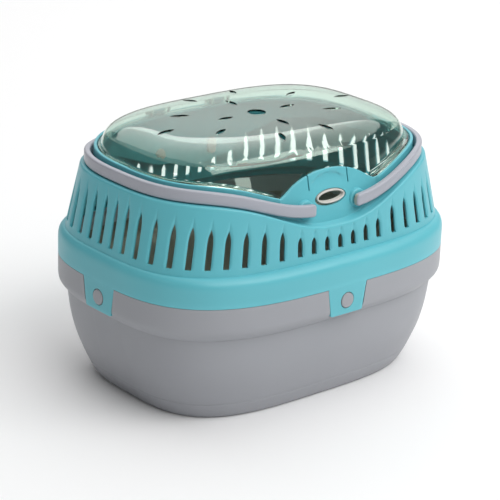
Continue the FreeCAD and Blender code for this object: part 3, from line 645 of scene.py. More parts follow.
# thumb scoop at the top of the arched plate, on its outer face
for r in range(NR):
    if tags[r] != "face" and not (r > 0 and tags[r - 1] == "face"):
        continue
    x, y, z = P[r, :, 0], P[r, :, 1], P[r, :, 2]
    k = 1 - ((x / 17.6) ** 2 + ((z - 170.2) / 11.6) ** 2)
    d = np.where((y < 0) & (np.abs(x) < 18.5), 1.35 * step(k, 0.0, 0.22) * step(z, 168.5, 178.5), 0)
    P[r, :, 1] += d
# slots: leave out the cells between the slot edges, on both skins, and wall them
cut = np.zeros((NV, NC), bool)
for j in range(NV):
    zm = (P[first_slot_row + j, 6::12, 2] + P[first_slot_row + j + 1, 6::12, 2]) / 2
    open_ = zm < tops
    cut[j, 5::12] |= open_
    cut[j, 6::12] |= open_


def skip_cell(r, c):
    if first_slot_row <= r < first_slot_row + NV:
        return cut[r - first_slot_row, c]
    if first_inner <= r < first_inner + NV:
        return cut[NV - 1 - (r - first_inner), c]
    return False


shell = Soup()
faces = grid_faces(NR, NC, True, True, skip_cell)


def oi(j, c):
    return (first_slot_row + j) * NC + c % NC


def ii(j, c):
    return (first_inner + NV - j) * NC + c % NC


for j in range(NV):
    for c in range(NC):
        if not cut[j, c]:
            continue
        if not cut[j, (c - 1) % NC]:
            faces.append([oi(j, c), oi(j + 1, c), ii(j + 1, c), ii(j, c)])
        if not cut[j, (c + 1) % NC]:
            faces.append([oi(j, c + 1), ii(j, c + 1), ii(j + 1, c + 1), oi(j + 1, c + 1)])
        if j == 0 or not cut[j - 1, c]:
            faces.append([oi(j, c), ii(j, c), ii(j, c + 1), oi(j, c + 1)])
        if j == NV - 1 or not cut[j + 1, c]:
            faces.append([oi(j + 1, c), oi(j + 1, c + 1), ii(j + 1, c + 1), ii(j + 1, c)])
shell.add(P.reshape(-1, 3), faces)
shell_body = make("upper_shell_skin", shell.verts(), shell.f, [TURQ], "carrier", "upper_shell", 34)


# cut the oval latch opening and the two slits
def cutter(name, verts, faces):
    me = bpy.data.meshes.new(name)
    me.from_pydata([tuple(v) for v in (np.asarray(verts, float) * MM)], [], faces)
    import bmesh
    bm = bmesh.new()
    bm.from_mesh(me)
    bmesh.ops.recalc_face_normals(bm, faces=bm.faces)
    bm.to_mesh(me)
    bm.free()
    ob = bpy.data.objects.new(name, me)
    bpy.context.scene.collection.objects.link(ob)
    return ob


def ellipse(cx, cz, a, b, seg=72):
    return [(cx + a * math.cos(TAU * i / seg), cz + b * math.sin(TAU * i / seg)) for i in range(seg)]


def tube_y(outline, y0, y1):
    n = len(outline)
    v = [(a, y0, b) for a, b in outline] + [(a, y1, b) for a, b in outline]
    f = [[i, (i + 1) % n, n + (i + 1) % n, n + i] for i in range(n)]
    return np.array(v), f + [list(range(n))[::-1], [n + i for i in range(n)]]


def subtract(ob, soups, name):
    s = Soup()
    for v, f in soups:
        s.add(v, f)
    c = cutter(name, s.verts(), s.f)
    mod = ob.modifiers.new("cut", "BOOLEAN")
    mod.operation = "DIFFERENCE"
    mod.solver = "EXACT"
    mod.object = c
    dg = bpy.context.evaluated_depsgraph_get()
    me = bpy.data.meshes.new_from_object(ob.evaluated_get(dg))
    ob.modifiers.clear()
    old = ob.data
    ob.data = me
    bpy.data.meshes.remove(old)
    bpy.data.objects.remove(c)
    return ob


cuts = [tube_y(ellipse(0, LATCH_Z, OVAL_A, OVAL_B), -94, -80)]
for sx in (-1, 1):
    x = 19.5 * sx
    cuts.append(tube_y([(x - 0.6, 171.0), (x - 0.35, 170.5), (x + 0.35, 170.5), (x + 0.6, 171.0), (x + 0.6, 192), (x - 0.6, 192)], -92, -74))
subtract(shell_body, cuts, "cut_plate")
shell_body.data.polygons.foreach_set("use_smooth", [True] * len(shell_body.data.polygons))
shell_body.data.set_sharp_from_angle(angle=math.radians(34))

# bosses behind the handle ends, and hinge lugs at the back: parts of the shell's moulding
extra = Soup()
for sx in (-1, 1):
    for sy in (-1, 1):
        y_in, y_out = (87.0, 91.6) if sy < 0 else (88.4, 91.6)
        d = y_out - y_in
        prof = [(7.9, 0), (7.6, d - 1.6), (7.45, d - 0.9), (7.0, d - 0.35), (6.3, d - 0.08), (5.4, d), (2.0, d)]
        extra.add(*lathe(prof, (sx * PIVOT_X, sy * y_in, PIVOT_Z), (0, sy, 0), 48))
    x0, x1 = sx * HINGE_X - LUG_W / 2, sx * HINGE_X + LUG_W / 2
    o = [(HINGE_Y - 1.2, 184.6), (HINGE_Y + 0.6, 184.6), (HINGE_Y + LUG_R, 187.6)]
    for a in np.linspace(0, math.pi * 0.36, 8):
        o.append((HINGE_Y + LUG_R * math.cos(a), HINGE_Z + LUG_R * math.sin(a)))
    for a in np.linspace(0.36, -0.98, 12):
        o.append((HINGE_Y + 1.57 * math.cos(math.pi * a), HINGE_Z + 1.57 * math.sin(math.pi * a)) if a < 0.30 else o[-1])
    for a in np.linspace(-1.0, -1.36, 5):
        o.append((HINGE_Y + 1.57 * math.cos(math.pi * a), HINGE_Z + 1.57 * math.sin(math.pi * a)))
    for a in np.linspace(math.pi * 0.64, math.pi * 1.12, 9):
        o.append((HINGE_Y + LUG_R * math.cos(a), HINGE_Z + LUG_R * math.sin(a)))
    o.append((HINGE_Y - 1.2, 190.0))
    oo = [o[0]]
    for p in o[1:]:
        if math.hypot(p[0] - oo[-1][0], p[1] - oo[-1][1]) > 0.05:
            oo.append(p)
    extra.add(*slab(oo, "x", x0, x1, 0.18))
make("upper_shell_bosses", extra.verts(), extra.f, [TURQ], "carrier", None, 40)

# ------------------------------------------------------------------ snap tabs
def tab_outline(grow=0.0):
    wt, wb = 19.2 + grow, 15.9 + grow
    zt, zb, r = 99.46, 76.6 - grow, 1.7
    o = [(wt, zt)]
    slope = (wt - wb) / 21.5
    for a in np.linspace(0, math.pi / 2, 7):
        o.append((wb + slope * 0 - r + r * math.cos(a), zb + r - r * math.sin(a)))
    for a in np.linspace(math.pi / 2, math.pi, 7):
        o.append((-wb + r + r * math.cos(a), zb + r - r * math.sin(a)))
    o.append((-wt, zt))
    return o


def tab_mesh(side_axis, sign, reach, body, node, name):
    outer = tab_outline()
    hole = [(6.6 * math.cos(TAU * i / 48), STUD_Z + 6.6 * math.sin(TAU * i / 48)) for i in range(48)]
    # outlines refined so that the plate can follow the skirt's curve
    pts = []
    for i in range(len(outer)):
        p, q = np.array(outer[i]), np.array(outer[(i + 1) % len(outer)])
        n = max(1, int(np.linalg.norm(q - p) / 1.6))
        for k in range(n):
            pts.append(tuple(p + (q - p) * k / n))
    n_out = len(pts)
    n_hole = len(hole)
    grid = []
    for gx in np.arange(-18, 18.1, 2.0):
        for gz in np.arange(78.2, 98.6, 2.0):
            inside = abs(gx) < 15.9 - 0.8 + (gz - 76.6) * 0.144 and math.hypot(gx, gz - STUD_Z) > 7.6
            if inside:
                grid.append((gx, gz))
    allp = pts + hole + grid
    edges = [(i, (i + 1) % n_out) for i in range(n_out)] + [(n_out + i, n_out + (i + 1) % n_hole) for i in range(n_hole)]
    res = delaunay_2d_cdt([Vector(p) for p in allp], edges, [], 1, 1e-5)
    co, tri = [tuple(v) for v in res[0]], res[2]
    keep = []
    for f in tri:
        c = np.mean([co[i] for i in f], axis=0)
        if math.hypot(c[0], c[1] - STUD_Z) < 6.5:
            continue
        keep.append(list(f))
    co = np.array(co)
    a_, b_, n_ = 150.0, 113.0, 3.07

    def lift(u, depth):
        if side_axis == "y":
            d = b_ * (1 - np.abs(u / a_) ** n_) ** (1 / n_) - depth
        else:
            d = a_ * (1 - np.abs(u / b_) ** n_) ** (1 / n_) - depth
        return d
    dist = np.full(len(co), 9.0)
    P0 = np.array(pts)
    for i in range(len(co)):
        seg_d = np.min(np.hypot(P0[:, 0] - co[i, 0], P0[:, 1] - co[i, 1]))
        dist[i] = seg_d if co[i, 1] < 98.6 else 9.0
    v_all, f_all = [], []
    top = lift(co[:, 0], 0.0) - np.where(dist < 0.02, 0.28, 0.0)
    bot = lift(co[:, 0], 2.2)
    n = len(co)

    def world(u, d, z):
        if side_axis == "y":
            return np.stack([u, sign * d, z], 1)
        return np.stack([sign * d, u, z], 1)
    v_all = np.vstack([world(co[:, 0], top, co[:, 1]), world(co[:, 0], bot, co[:, 1])])
    count = {}
    for f in keep:
        for i in range(3):
            e = (f[i], f[(i + 1) % 3])
            count[tuple(sorted(e))] = count.get(tuple(sorted(e)), 0) + 1
        f_all.append(f)
        f_all.append([i + n for i in f][::-1])
    for (i, j), k in count.items():
        if k == 1:
            f_all.append([i, j, j + n, i + n])
    return make(name, v_all, f_all, [TURQ], body, node, 40)


tab_mesh("y", -1, 113.0, "snap_f", "snap_tab_front", "snap_tab_front_skin")
tab_mesh("y", 1, 113.0, "snap_b", "snap_tab_rear", "snap_tab_rear_skin")
tab_mesh("x", -1, 150.0, "snap_l", "snap_tab_left", "snap_tab_left_skin")
tab_mesh("x", 1, 150.0, "snap_r", "snap_tab_right", "snap_tab_right_skin")

# ------------------------------------------------------------------ grey tub
TUB = [(0, 118.6, 83.7, 3.41), (0.35, 119.7, 84.8, 3.41), (1.2, 120.6, 85.7, 3.41), (2.4, 121.6, 86.7, 3.40), (4, 122.5, 87.6, 3.40),
       (10, 125.6, 90.6, 3.39), (20, 130.0, 94.3, 3.37), (35, 135.6, 99.2, 3.33), (52, 140.1, 102.4, 3.28),
       (66, 142.3, 104.0, 3.24), (71.0, 142.95, 104.85, 3.22), (72.0, 143.05, 104.95, 3.217), (72.25, 143.9, 105.95, 3.195), (73.8, 145.3, 107.7, 3.167),
       (76, 147.2, 109.9, 3.13), (78.5, 149.0, 111.9, 3.09), (81, 149.8, 112.8, 3.07), (84, 150.0, 113.0, 3.07), (99.2, 150.0, 113.0, 3.07)]
tz = [r[0] for r in TUB]
TA, TB, TN = (Smooth(tz, [r[k] for r in TUB]) for k in (1, 2, 3))
CAV = [(2.8, 118.5, 83.6, 3.40), (5.5, 120.6, 85.7, 3.40), (10.5, 123.3, 88.3, 3.39), (20, 127.5, 91.8, 3.37), (35, 133.1, 96.7, 3.33),
       (52, 137.6, 99.9, 3.28), (66.5, 139.8, 101.5, 3.24), (72.0, 140.6, 102.6, 3.22), (74.5, 142.0, 104.4, 3.19),
       (77.0, 144.4, 107.0, 3.14), (80.0, 146.4, 109.4, 3.10), (83.5, 147.4, 110.4, 3.07), (88, 147.5, 110.5, 3.07),
       (94.6, 147.5, 110.5, 3.07), (97.0, 144.8, 107.8, 3.07), (112.0, 144.8, 107.8, 3.07)]
NT = 480
tt = np.arange(NT) * TAU / NT
# the pocket edges lie on exact columns: the nearest columns are moved on to them, row by row
POCKET_TOP, POCKET_BOT, POCKET_DEPTH = 99.2, 76.1, 2.6


def pocket_half(z):
    return 15.9 + 0.45 + 3.3 * np.clip((z - 76.6) / 22.9, -0.1, 1)


def tub_angles(z):
    t = tt.copy()
    w = float(pocket_half(min(max(z, POCKET_BOT), POCKET_TOP)))
    for base, a, b in ((0.0, 150.0, 113.0), (math.pi, 150.0, 113.0)):
        k = math.atan2(w / b, 1.0)
        for s in (-1, 1):
            i = int(round((base + s * math.atan2(18.7 / b, 1.0)) / TAU * NT)) % NT
            t[i] = (base + s * k) % TAU
    for base in (math.pi / 2, 3 * math.pi / 2):
        k = math.atan2(w / 150.0, 1.0)
        for s in (-1, 1):
            i = int(round((base + s * math.atan2(18.7 / 150.0, 1.0)) / TAU * NT)) % NT
            t[i] = (base + s * k) % TAU
    return t


def pocket_cols():
    out = []
    for base, b in ((0.0, 113.0), (math.pi, 113.0), (math.pi / 2, 150.0), (3 * math.pi / 2, 150.0)):
        lo = int(round((base - math.atan2(18.7 / b, 1.0)) / TAU * NT))
        hi = int(round((base + math.atan2(18.7 / b, 1.0)) / TAU * NT))
        out += [c % NT for c in range(lo, hi)]
    return set(out)


pocket = pocket_cols()
trow, ttag = [], []
for k in (0.0, 0.3, 0.6, 0.85):
    x, y = plan(103.0 * k + 0.0001, 69.0 * k + 0.0001, 69.0 * k + 0.0001, 3.3, tt)
    trow.append(np.stack([x, y, np.full_like(x, 0.7)], 1)); ttag.append("")
for z, a, b in ((0.7, 103.0, 69.0), (0.45, 104.4, 70.3), (0.08, 105.2, 71.0), (0.0, 106.2, 72.0), (0.0, 112.0, 77.5)):
    x, y = plan(a, b, b, 3.38, tt)
    trow.append(np.stack([x, y, np.full_like(x, z)], 1)); ttag.append("")
zs = [0, 0.15, 0.35, 0.7, 1.2, 1.8, 2.6, 4, 6, 8, 10.5, 12.6, 13.5, 13.8, 14.1, 14.4, 15.3, 18, 22, 26, 30, 35, 40, 46, 52, 58, 63, 67, 69.5, 71, 71.6, 72.0, 72.06, 72.12, 72.18, 72.25, 72.7, 73.4,
      74.4, 75.3, POCKET_BOT, 77.4, 79, 80.6, 82.2, 84, 87, 90, 93, 96, 98.2, POCKET_TOP]
for z in zs:
    t = tub_angles(z)
    g = 0.28 * math.exp(-((z - 13.95) / 0.28) ** 2)
    x, y = plan(float(TA(z)) - g, float(TB(z)) - g, float(TB(z)) - g, float(TN(z)), t)
    trow.append(np.stack([x, y, np.full_like(x, z)], 1)); ttag.append("out%g" % z)
r_lo, r_hi = ttag.index("out%g" % POCKET_BOT), ttag.index("out%g" % POCKET_TOP)
t_top = tub_angles(99.2)
for z, a, b in ((99.2, 147.4, 110.4), (99.5, 147.1, 110.1), (105.0, 147.1, 110.1), (111.2, 147.1, 110.1), (111.8, 146.8, 109.8), (112.0, 146.2, 109.2), (112.0, 145.6, 108.6)):
    x, y = plan(a, b, b, 3.07, t_top)
    trow.append(np.stack([x, y, np.full_like(x, z)], 1)); ttag.append("")
cz = [r[0] for r in CAV]
CA, CB, CN = (Smooth(cz, [r[k] for r in CAV]) for k in (1, 2, 3))
for z in [111.7, 108, 103, 98, 96.5, 95.4, 94.2, 90, 86, 83, 80.5, 78.5, 76.5, 74.5, 72.5, 70, 66, 60, 52, 44, 35, 27, 20, 14, 10.5, 8, 6, 4.6, 3.6, 3.0, 2.8]:
    x, y = plan(float(CA(z)), float(CB(z)), float(CB(z)), float(CN(z)), tt)
    trow.append(np.stack([x, y, np.full_like(x, z)], 1)); ttag.append("")
for k in (0.97, 0.85, 0.6, 0.3, 0.0):
    x, y = plan(118.5 * k + 0.0001, 83.6 * k + 0.0001, 83.6 * k + 0.0001, 3.4, tt)
    trow.append(np.stack([x, y, np.full_like(x, 2.8)], 1)); ttag.append("")
T = np.stack(trow)
tub = Soup()
tf = grid_faces(len(trow), NT, True, False, lambda r, c: r_lo <= r < r_hi and c in pocket)
nt_ = len(trow) * NT
floor_pts = []
idx = {}
for r in range(r_lo, r_hi + 1):
    for c in sorted({c for p in pocket for c in (p, (p + 1) % NT)}):
        p = T[r, c]
        px = abs(p[0]) > 140
        q = p.copy()
        if px:
            q[0] = math.copysign(150.0 - POCKET_DEPTH - 0.3, p[0])
        else:
            q[1] = math.copysign(113.0 - POCKET_DEPTH - 0.3, p[1])
        idx[(r, c)] = nt_ + len(floor_pts)
        floor_pts.append(q)
for r in range(r_lo, r_hi):
    for c in pocket:
        c2 = (c + 1) % NT
        tf.append([idx[(r, c)], idx[(r, c2)], idx[(r + 1, c2)], idx[(r + 1, c)]])
        if (c - 1) % NT not in pocket:
            tf.append([r * NT + c, idx[(r, c)], idx[(r + 1, c)], (r + 1) * NT + c])
        if c2 not in pocket:
            tf.append([r * NT + c2, (r + 1) * NT + c2, idx[(r + 1, c2)], idx[(r, c2)]])
        if r == r_lo:
            tf.append([r * NT + c, r * NT + c2, idx[(r, c2)], idx[(r, c)]])
        if r == r_hi - 1:
            tf.append([(r + 1) * NT + c, idx[(r + 1, c)], idx[(r + 1, c2)], (r + 1) * NT + c2])
tub.add(np.vstack([T.reshape(-1, 3), np.array(floor_pts)]), tf)
# the four studs
for ax, sg, reach in (("y", -1, 113.0), ("y", 1, 113.0), ("x", -1, 150.0), ("x", 1, 150.0)):
    base = (0, sg * (reach - 3.4), STUD_Z) if ax == "y" else (sg * (reach - 3.4), 0, STUD_Z)
    dirn = (0, sg, 0) if ax == "y" else (sg, 0, 0)
    prof = [(6.0, 0), (6.0, 3.3), (5.93, 3.65), (5.75, 3.92), (5.4, 4.09), (4.9, 4.15), (3.5, 4.18), (1.6, 4.2)]
    tub.add(*lathe(prof, base, dirn, 56))
tub_ob = make("base_tub_skin", tub.verts(), tub.f, [GREY, GREY_INSIDE_PAINTED_SHADE], "carrier", "base_tub", 36)
# faces inside the tub's cavity take the darker brownish grey: painted shade for the shaded inside of the tub
for p in tub_ob.data.polygons:
    c, n = p.center, p.normal
    r_out = (abs(c.x) / (float(CA(c.z / MM)) * MM + 0.0008)) ** 3.2 + (abs(c.y) / (float(CB(c.z / MM)) * MM + 0.0008)) ** 3.2
    if c.z > 0.0027 and c.z < 0.0985 and r_out < 1.0:
        p.material_index = 1


# ------------------------------------------------------------------ handles
def handle(sx, body, node):
    n = 150
    x_end = BAIL_END_X
    t0 = math.atan2(BAIL_B * (1 - (x_end / BAIL_A) ** BAIL_N) ** (1 / BAIL_N), x_end)
    u = np.linspace(-t0, t0, n + 1)
    c, s = np.cos(u), np.sin(u)
    r = (np.abs(c / BAIL_A) ** BAIL_N + np.abs(s / BAIL_B) ** BAIL_N) ** (-1.0 / BAIL_N)
    x, y = r * c, r * s
    w = np.where(y > 0, 1 - step(x, 62.0, 102.0), 0)
    y = y + (np.maximum(y, 94.7) - y) * w
    mid = np.stack([sx * x, y, handle_bottom(x) + BAIL_GRIP / 2], 1)
    seg = np.linalg.norm(np.diff(mid, axis=0), axis=1)
    arc = np.concatenate([[0], np.cumsum(seg)])
    # even spacing, with closer sections where the ends round over
    total = arc[-1]
    e = 2.6
    ends = e * (1 - np.cos(np.linspace(0, math.pi / 2, 9)))
    want = np.concatenate([ends, np.linspace(e, total - e, 170)[1:-1], total - ends[::-1]])
    mid = np.stack([np.interp(want, arc, mid[:, k]) for k in range(3)], 1)
    tan = np.gradient(mid, axis=0)
    tan /= np.linalg.norm(tan, axis=1)[:, None]
    side = np.cross(tan, [0, 0, 1.0])
    side /= np.linalg.norm(side, axis=1)[:, None]
    # section: rounded bar, pressed in a little on one long face
    sec = []
    W, H, R = BAIL_W / 2, BAIL_GRIP / 2, 1.75
    for cx, cz, a0 in ((W - R, H - R, 0), (-W + R, H - R, 90), (-W + R, -H + R, 180), (W - R, -H + R, 270)):
        for a in np.linspace(a0, a0 + 90, 8):
            sec.append((cx + R * math.cos(math.radians(a)), cz + R * math.sin(math.radians(a))))
    sec += [(W - 0.02, -H + R + 0.6), (W - 0.16, -H * 0.42), (W - 0.22, 0.0), (W - 0.16, H * 0.42), (W - 0.02, H - R - 0.6)]
    sec = np.array(sec)
    verts = []
    for i, d in enumerate(want):
        k = min(d, total - d)
        f = math.sqrt(max(0.0, 1 - (1 - min(1, k / e)) ** 2)) if k < e else 1.0
        # the end rounds in height more than in width
        sw = W - (1 - f) * 1.5
        sh = H - (1 - f) * 2.4
        q = sec.copy()
        q[:, 0] *= sw / W
        q[:, 1] *= sh / H
        verts.append(mid[i] + q[:, :1] * side[i] + q[:, 1:] * np.array([0, 0, 1.0]))
    V_ = np.array(verts)
    ns = len(sec)
    f = grid_faces(len(want), ns)
    f.append(list(range(ns))[::-1])
    f.append([(len(want) - 1) * ns + i for i in range(ns)])
    s_ = Soup().add(V_.reshape(-1, 3), f)
    ob = make(node + "_grip", s_.verts(), s_.f, [LILAC, CREAM_PAINTED_WARM_LIGHT], body, node, 40)
    ends = (mid[0], mid[-1])
    # end faces of the grip take the cream tone: painted warm light on the handle's end
    for p in ob.data.polygons:
        c = np.array(p.center) / MM
        n_ = np.array(p.normal)
        for q_ in ends:
            if abs(c[0]) < BAIL_END_X + 2.2 and abs(c[1] - q_[1]) < 6 and abs(c[1]) < abs(q_[1]) + 1.0 and abs(n_[0]) > 0.35:
                p.material_index = 1
    p = Soup()
    for sy in (-1, 1):
        y_face = 92.75
        inner = 85.9 if sy < 0 else 86.9
        prof = [(4.9, 0.6), (5.0, 0.0), (4.95, -0.5), (4.6, -0.75), (3.3, -0.8), (3.3, inner - y_face), (4.2, inner - y_face), (4.3, inner - y_face - 0.3), (4.0, inner - y_face - 1.4), (3.2, inner - y_face - 1.6)]
        p.add(*lathe(prof, (sx * PIVOT_X, sy * y_face, PIVOT_Z), (0, sy, 0), 40))
    # pivot discs in the cream tone: painted warm light
    make(node + "_pivots", p.verts(), p.f, [CREAM_PAINTED_WARM_LIGHT], body, None, 40)
    return ob


handle(-1, "bail_left", "handle_left")
handle(1, "bail_right", "handle_right")

# ------------------------------------------------------------------ clear lid
LID = [(153, 122.4, 87.2, 2.95, 85.4), (158, 122.4, 86.9, 2.95, 85.4), (163, 122.4, 85.9, 2.95, 85.4),
       (168, 122.4, 84.6, 2.95, 85.4), (172, 122.4, 83.3, 2.95, 85.4), (184.5, 122.0, 80.4, 2.97, 85.2),
       (188.5, 121.0, 79.2, 3.02, 84.7), (192.5, 118.9, 77.5, 3.08, 83.4), (196.5, 115.8, 75.0, 3.18, 81.0),
       (199.8, 112.0, 72.0, 3.24, 78.0), (202.6, 107.0, 68.0, 3.24, 74.0), (204.8, 100.5, 62.6, 3.18, 68.6),
       (206.3, 91.0, 54.6, 3.05, 60.6), (207.2, 74.0, 42.5, 2.85, 48.0), (207.5, 48.0, 27.0, 2.65, 31.0), (207.5, 0.0, 0.0, 2.5, 0.0)]
li = np.arange(len(LID))
LZ, LA, LF, LN, LB = (Smooth(li, [r[k] for r in LID]) for k in range(5))
K = 8                                   # row of the table where the roof patch starts (z 196.5)
lzs = [r[0] for r in LID[:K + 1]]
WA, WF, WN, WB = (Smooth(lzs, [r[k] for r in LID[:K + 1]]) for k in (1, 2, 3, 4))
ND = 432
td = np.arange(ND) * TAU / ND


def foot(x, y):
    return mix(x, y, rim_z(x, y) + 0.1, plate_z(x) + 0.4)


def lid_edge(x, y):
    return mix(x, y, rim_z(x, y) - 2.1, plate_z(x) - 1.4)


def lid_row(zfn, t=td):
    x, y = plan(122.0, 82.0, 85.0, 2.97, t)
    for _ in range(6):
        z = zfn(x, y)
        x, y = plan(WA(z), WF(z), WB(z), WN(z), t)
    return np.stack([x, y, zfn(x, y) + 0 * x], 1)


def flange_row(zfn, grow=0.4):
    p = lid_row(zfn)
    x, y = plan(SEAT_A - grow, SEAT_B - grow, SEAT_B - grow, COLLAR_N, td)
    w = centre(p[:, 0], p[:, 1])
    return np.stack([w * p[:, 0] + (1 - w) * x, w * p[:, 1] + (1 - w) * y, p[:, 2]], 1)


lrow = [flange_row(lid_edge, 0.8), flange_row(lambda x, y: lid_edge(x, y) + 0.35, 0.4),
        flange_row(lambda x, y: mix(x, y, rim_z(x, y) - 0.3, plate_z(x) - 0.7), 0.4),
        flange_row(lambda x, y: mix(x, y, rim_z(x, y) + 0.1, plate_z(x) - 0.3), 0.75)]
NW = 20
for k in range(0, NW + 1):
    s = (k / NW) ** 0.92
    lrow.append(lid_row(lambda x, y, s=s: foot(x, y) + (LID[K][0] - foot(x, y)) * s))
L_ = np.stack(lrow)
boundary = L_[-1]
# roof patch: plan points inside the boundary, with the vent holes left out


def leaf(cx, cy, length, width, ang, seg=22):
    rr = ((length / 2) ** 2 + (width / 2) ** 2) / width
    out = []
    half = math.asin((length / 2) / rr)
    for k in range(seg):
        a = -half + 2 * half * k / seg
        out.append((rr * math.sin(a), rr * math.cos(a) - (rr - width / 2)))
    for k in range(seg):
        a = half - 2 * half * k / seg
        out.append((rr * math.sin(a), -(rr * math.cos(a) - (rr - width / 2))))
    c, s = math.cos(ang), math.sin(ang)
    return [(cx + u * c - v * s, cy + u * s + v * c) for u, v in out]


holes = [[(7.2 * math.cos(TAU * i / 48), 7.2 * math.sin(TAU * i / 48)) for i in range(48)]]
for sx in (-1, 1):
    holes.append(leaf(sx * 31, 0, 15, 4.8, 0))
    holes.append(leaf(0, sx * 31, 15, 4.8, math.pi / 2))
    holes.append(leaf(sx * 88.5, 0, 16, 4.8, 0))
    for sy in (-1, 1):
        holes.append(leaf(sx * 22, sy * 56, 14, 4.8, math.atan2(sy * 56, sx * 22)))
        holes.append(leaf(sx * 56, sy * 25, 16, 4.8, math.atan2(sy * 25, sx * 56)))


def inside(poly, pts):
    poly = np.array(poly)
    x, y = pts[:, 0], pts[:, 1]
    res = np.zeros(len(pts), bool)
    j = len(poly) - 1
    for i in range(len(poly)):
        cond = ((poly[i, 1] > y) != (poly[j, 1] > y)) & (x < (poly[j, 0] - poly[i, 0]) * (y - poly[i, 1]) / (poly[j, 1] - poly[i, 1] + 1e-15) + poly[i, 0])
        res ^= cond
        j = i
    return res


def roof(xy):
    """Height of the roof and its upward normal at plan points."""
    def z_at(x, y):
        lo, hi = np.full(len(x), float(K)), np.full(len(x), float(len(LID) - 1) - 1e-6)
        for _ in range(44):
            m_ = (lo + hi) / 2
            a, b, n = LA(m_), np.where(y < 0, LF(m_), LB(m_)), LN(m_)
            g = np.abs(x / np.maximum(a, 1e-6)) ** n + np.abs(y / np.maximum(b, 1e-6)) ** n
            out = g > 1
            hi = np.where(out, m_, hi)
            lo = np.where(out, lo, m_)
        return LZ((lo + hi) / 2)
    x, y = xy[:, 0], xy[:, 1]
    h = 0.4
    z = z_at(x, y)
    zx = (z_at(x + h, y) - z_at(x - h, y)) / (2 * h)
    zy = (z_at(x, y + h) - z_at(x, y - h)) / (2 * h)
    nn = np.stack([-zx, -zy, np.ones_like(z)], 1)
    return z, nn / np.linalg.norm(nn, axis=1)[:, None]


gx, gy = np.meshgrid(np.arange(-114, 114.1, 2.2), np.arange(-76, 84.1, 2.2))
gx = gx + np.where((np.round((gy + 76) / 2.2) % 2) > 0, 1.1, 0)
gp = np.stack([gx.ravel(), gy.ravel()], 1)
keep = inside(boundary[:, :2] * 0.985, gp)
bl = np.array(boundary[:, :2])
keep[keep] &= np.array([np.min(np.hypot(bl[:, 0] - p[0], bl[:, 1] - p[1])) > 1.3 for p in gp[keep]])
for h_ in holes:
    ha = np.array(h_)
    keep[keep] &= np.array([np.min(np.hypot(ha[:, 0] - p[0], ha[:, 1] - p[1])) > 1.0 for p in gp[keep]])
    keep &= ~inside(h_, gp)
gp = gp[keep]
pts2 = [tuple(p) for p in bl]
edges = [(i, (i + 1) % ND) for i in range(ND)]
for h_ in holes:
    b0 = len(pts2)
    pts2 += h_
    edges += [(b0 + i, b0 + (i + 1) % len(h_)) for i in range(len(h_))]
pts2 += [tuple(p) for p in gp]
res = delaunay_2d_cdt([Vector(p) for p in pts2], edges, [], 1, 1e-6)
co2 = np.array([tuple(v) for v in res[0]])
tris = np.array([list(f) for f in res[2] if len(f) == 3])
cent = co2[tris].mean(1)
ok = np.ones(len(tris), bool)
for h_ in holes:
    ok &= ~inside(h_, cent)
ok &= inside(bl, cent)
tris = tris[ok]
rz, rn = roof(co2)
top3 = np.column_stack([co2, rz])
# boundary vertices take the wall's own height exactly
for i in range(len(co2)):
    if i < ND:
        d = np.hypot(bl[:, 0] - co2[i, 0], bl[:, 1] - co2[i, 1])
        j = int(d.argmin())
        if d[j] < 1e-3:
            top3[i, 2] = boundary[j, 2]
bot3 = top3 - rn * LID_WALL
# inner skin of the wall: moved in along the wall's normal
dc = np.roll(L_, -1, 1) - np.roll(L_, 1, 1)
dr = np.empty_like(L_)
dr[1:-1] = L_[2:] - L_[:-2]
dr[0], dr[-1] = L_[1] - L_[0], L_[-1] - L_[-2]
wn = np.cross(dc, dr)
wn /= np.linalg.norm(wn, axis=2)[:, :, None] + 1e-12
sgn = np.sign((wn[:, :, :2] * L_[:, :, :2]).sum(2))[:, :, None]
wn *= sgn
I_ = L_ - wn * LID_WALL
# the roof's inner boundary is shared with the wall's inner top row
dome = Soup()
nL = L_.shape[0]
vv = [L_[:-1].reshape(-1, 3)]
off_roof = (nL - 1) * ND
map_top = {}
near = {}
for i in range(len(co2)):
    if i < ND:
        d = np.hypot(bl[:, 0] - co2[i, 0], bl[:, 1] - co2[i, 1])
        j = int(d.argmin())
        if d[j] < 1e-3:
            near[j] = i
vv.append(top3)
off_inner = off_roof + len(top3)
inner_rows = list(range(4, nL - 1))
I_use = [I_[r] for r in inner_rows]
bottom_inner = lid_row(lid_edge)
bn = wn[4]
bottom_inner = bottom_inner - bn * LID_WALL
bottom_inner[:, 2] = L_[0][:, 2]
I_all = np.stack([bottom_inner] + I_use)
vv.append(I_all.reshape(-1, 3))
off_bot = off_inner + I_all.shape[0] * ND
vv.append(bot3)
ff = []
ff += grid_faces(nL - 1, ND)
for c in range(ND):
    c2 = (c + 1) % ND
    ff.append([(nL - 2) * ND + c, (nL - 2) * ND + c2, off_roof + near[c2], off_roof + near[c]])
for t3 in tris:
    ff.append([off_roof + int(i) for i in t3])
    ff.append([off_bot + int(i) for i in t3[::-1]])
ff += [f[::-1] for f in grid_faces(I_all.shape[0], ND, base=off_inner)]
for c in range(ND):
    c2 = (c + 1) % ND
    r = I_all.shape[0] - 1
    ff.append([off_inner + r * ND + c, off_bot + near[c], off_bot + near[c2], off_inner + r * ND + c2])
    ff.append([c, off_inner + c, off_inner + c2, c2])
# hole walls
cnt = {}
for t3 in tris:
    for i in range(3):
        e = (int(t3[i]), int(t3[(i + 1) % 3]))
        cnt.setdefault(tuple(sorted(e)), []).append(e)
bset = set(near.values())
for key, es in cnt.items():
    if len(es) == 1 and not (key[0] in bset and key[1] in bset):
        i, j = es[0]
        ff.append([off_roof + j, off_roof + i, off_bot + i, off_bot + j])
dome.add(np.vstack(vv), ff)
make("dome_lid_skin", dome.verts(), dome.f, [CLEAR], "lid", "dome_lid", 38)

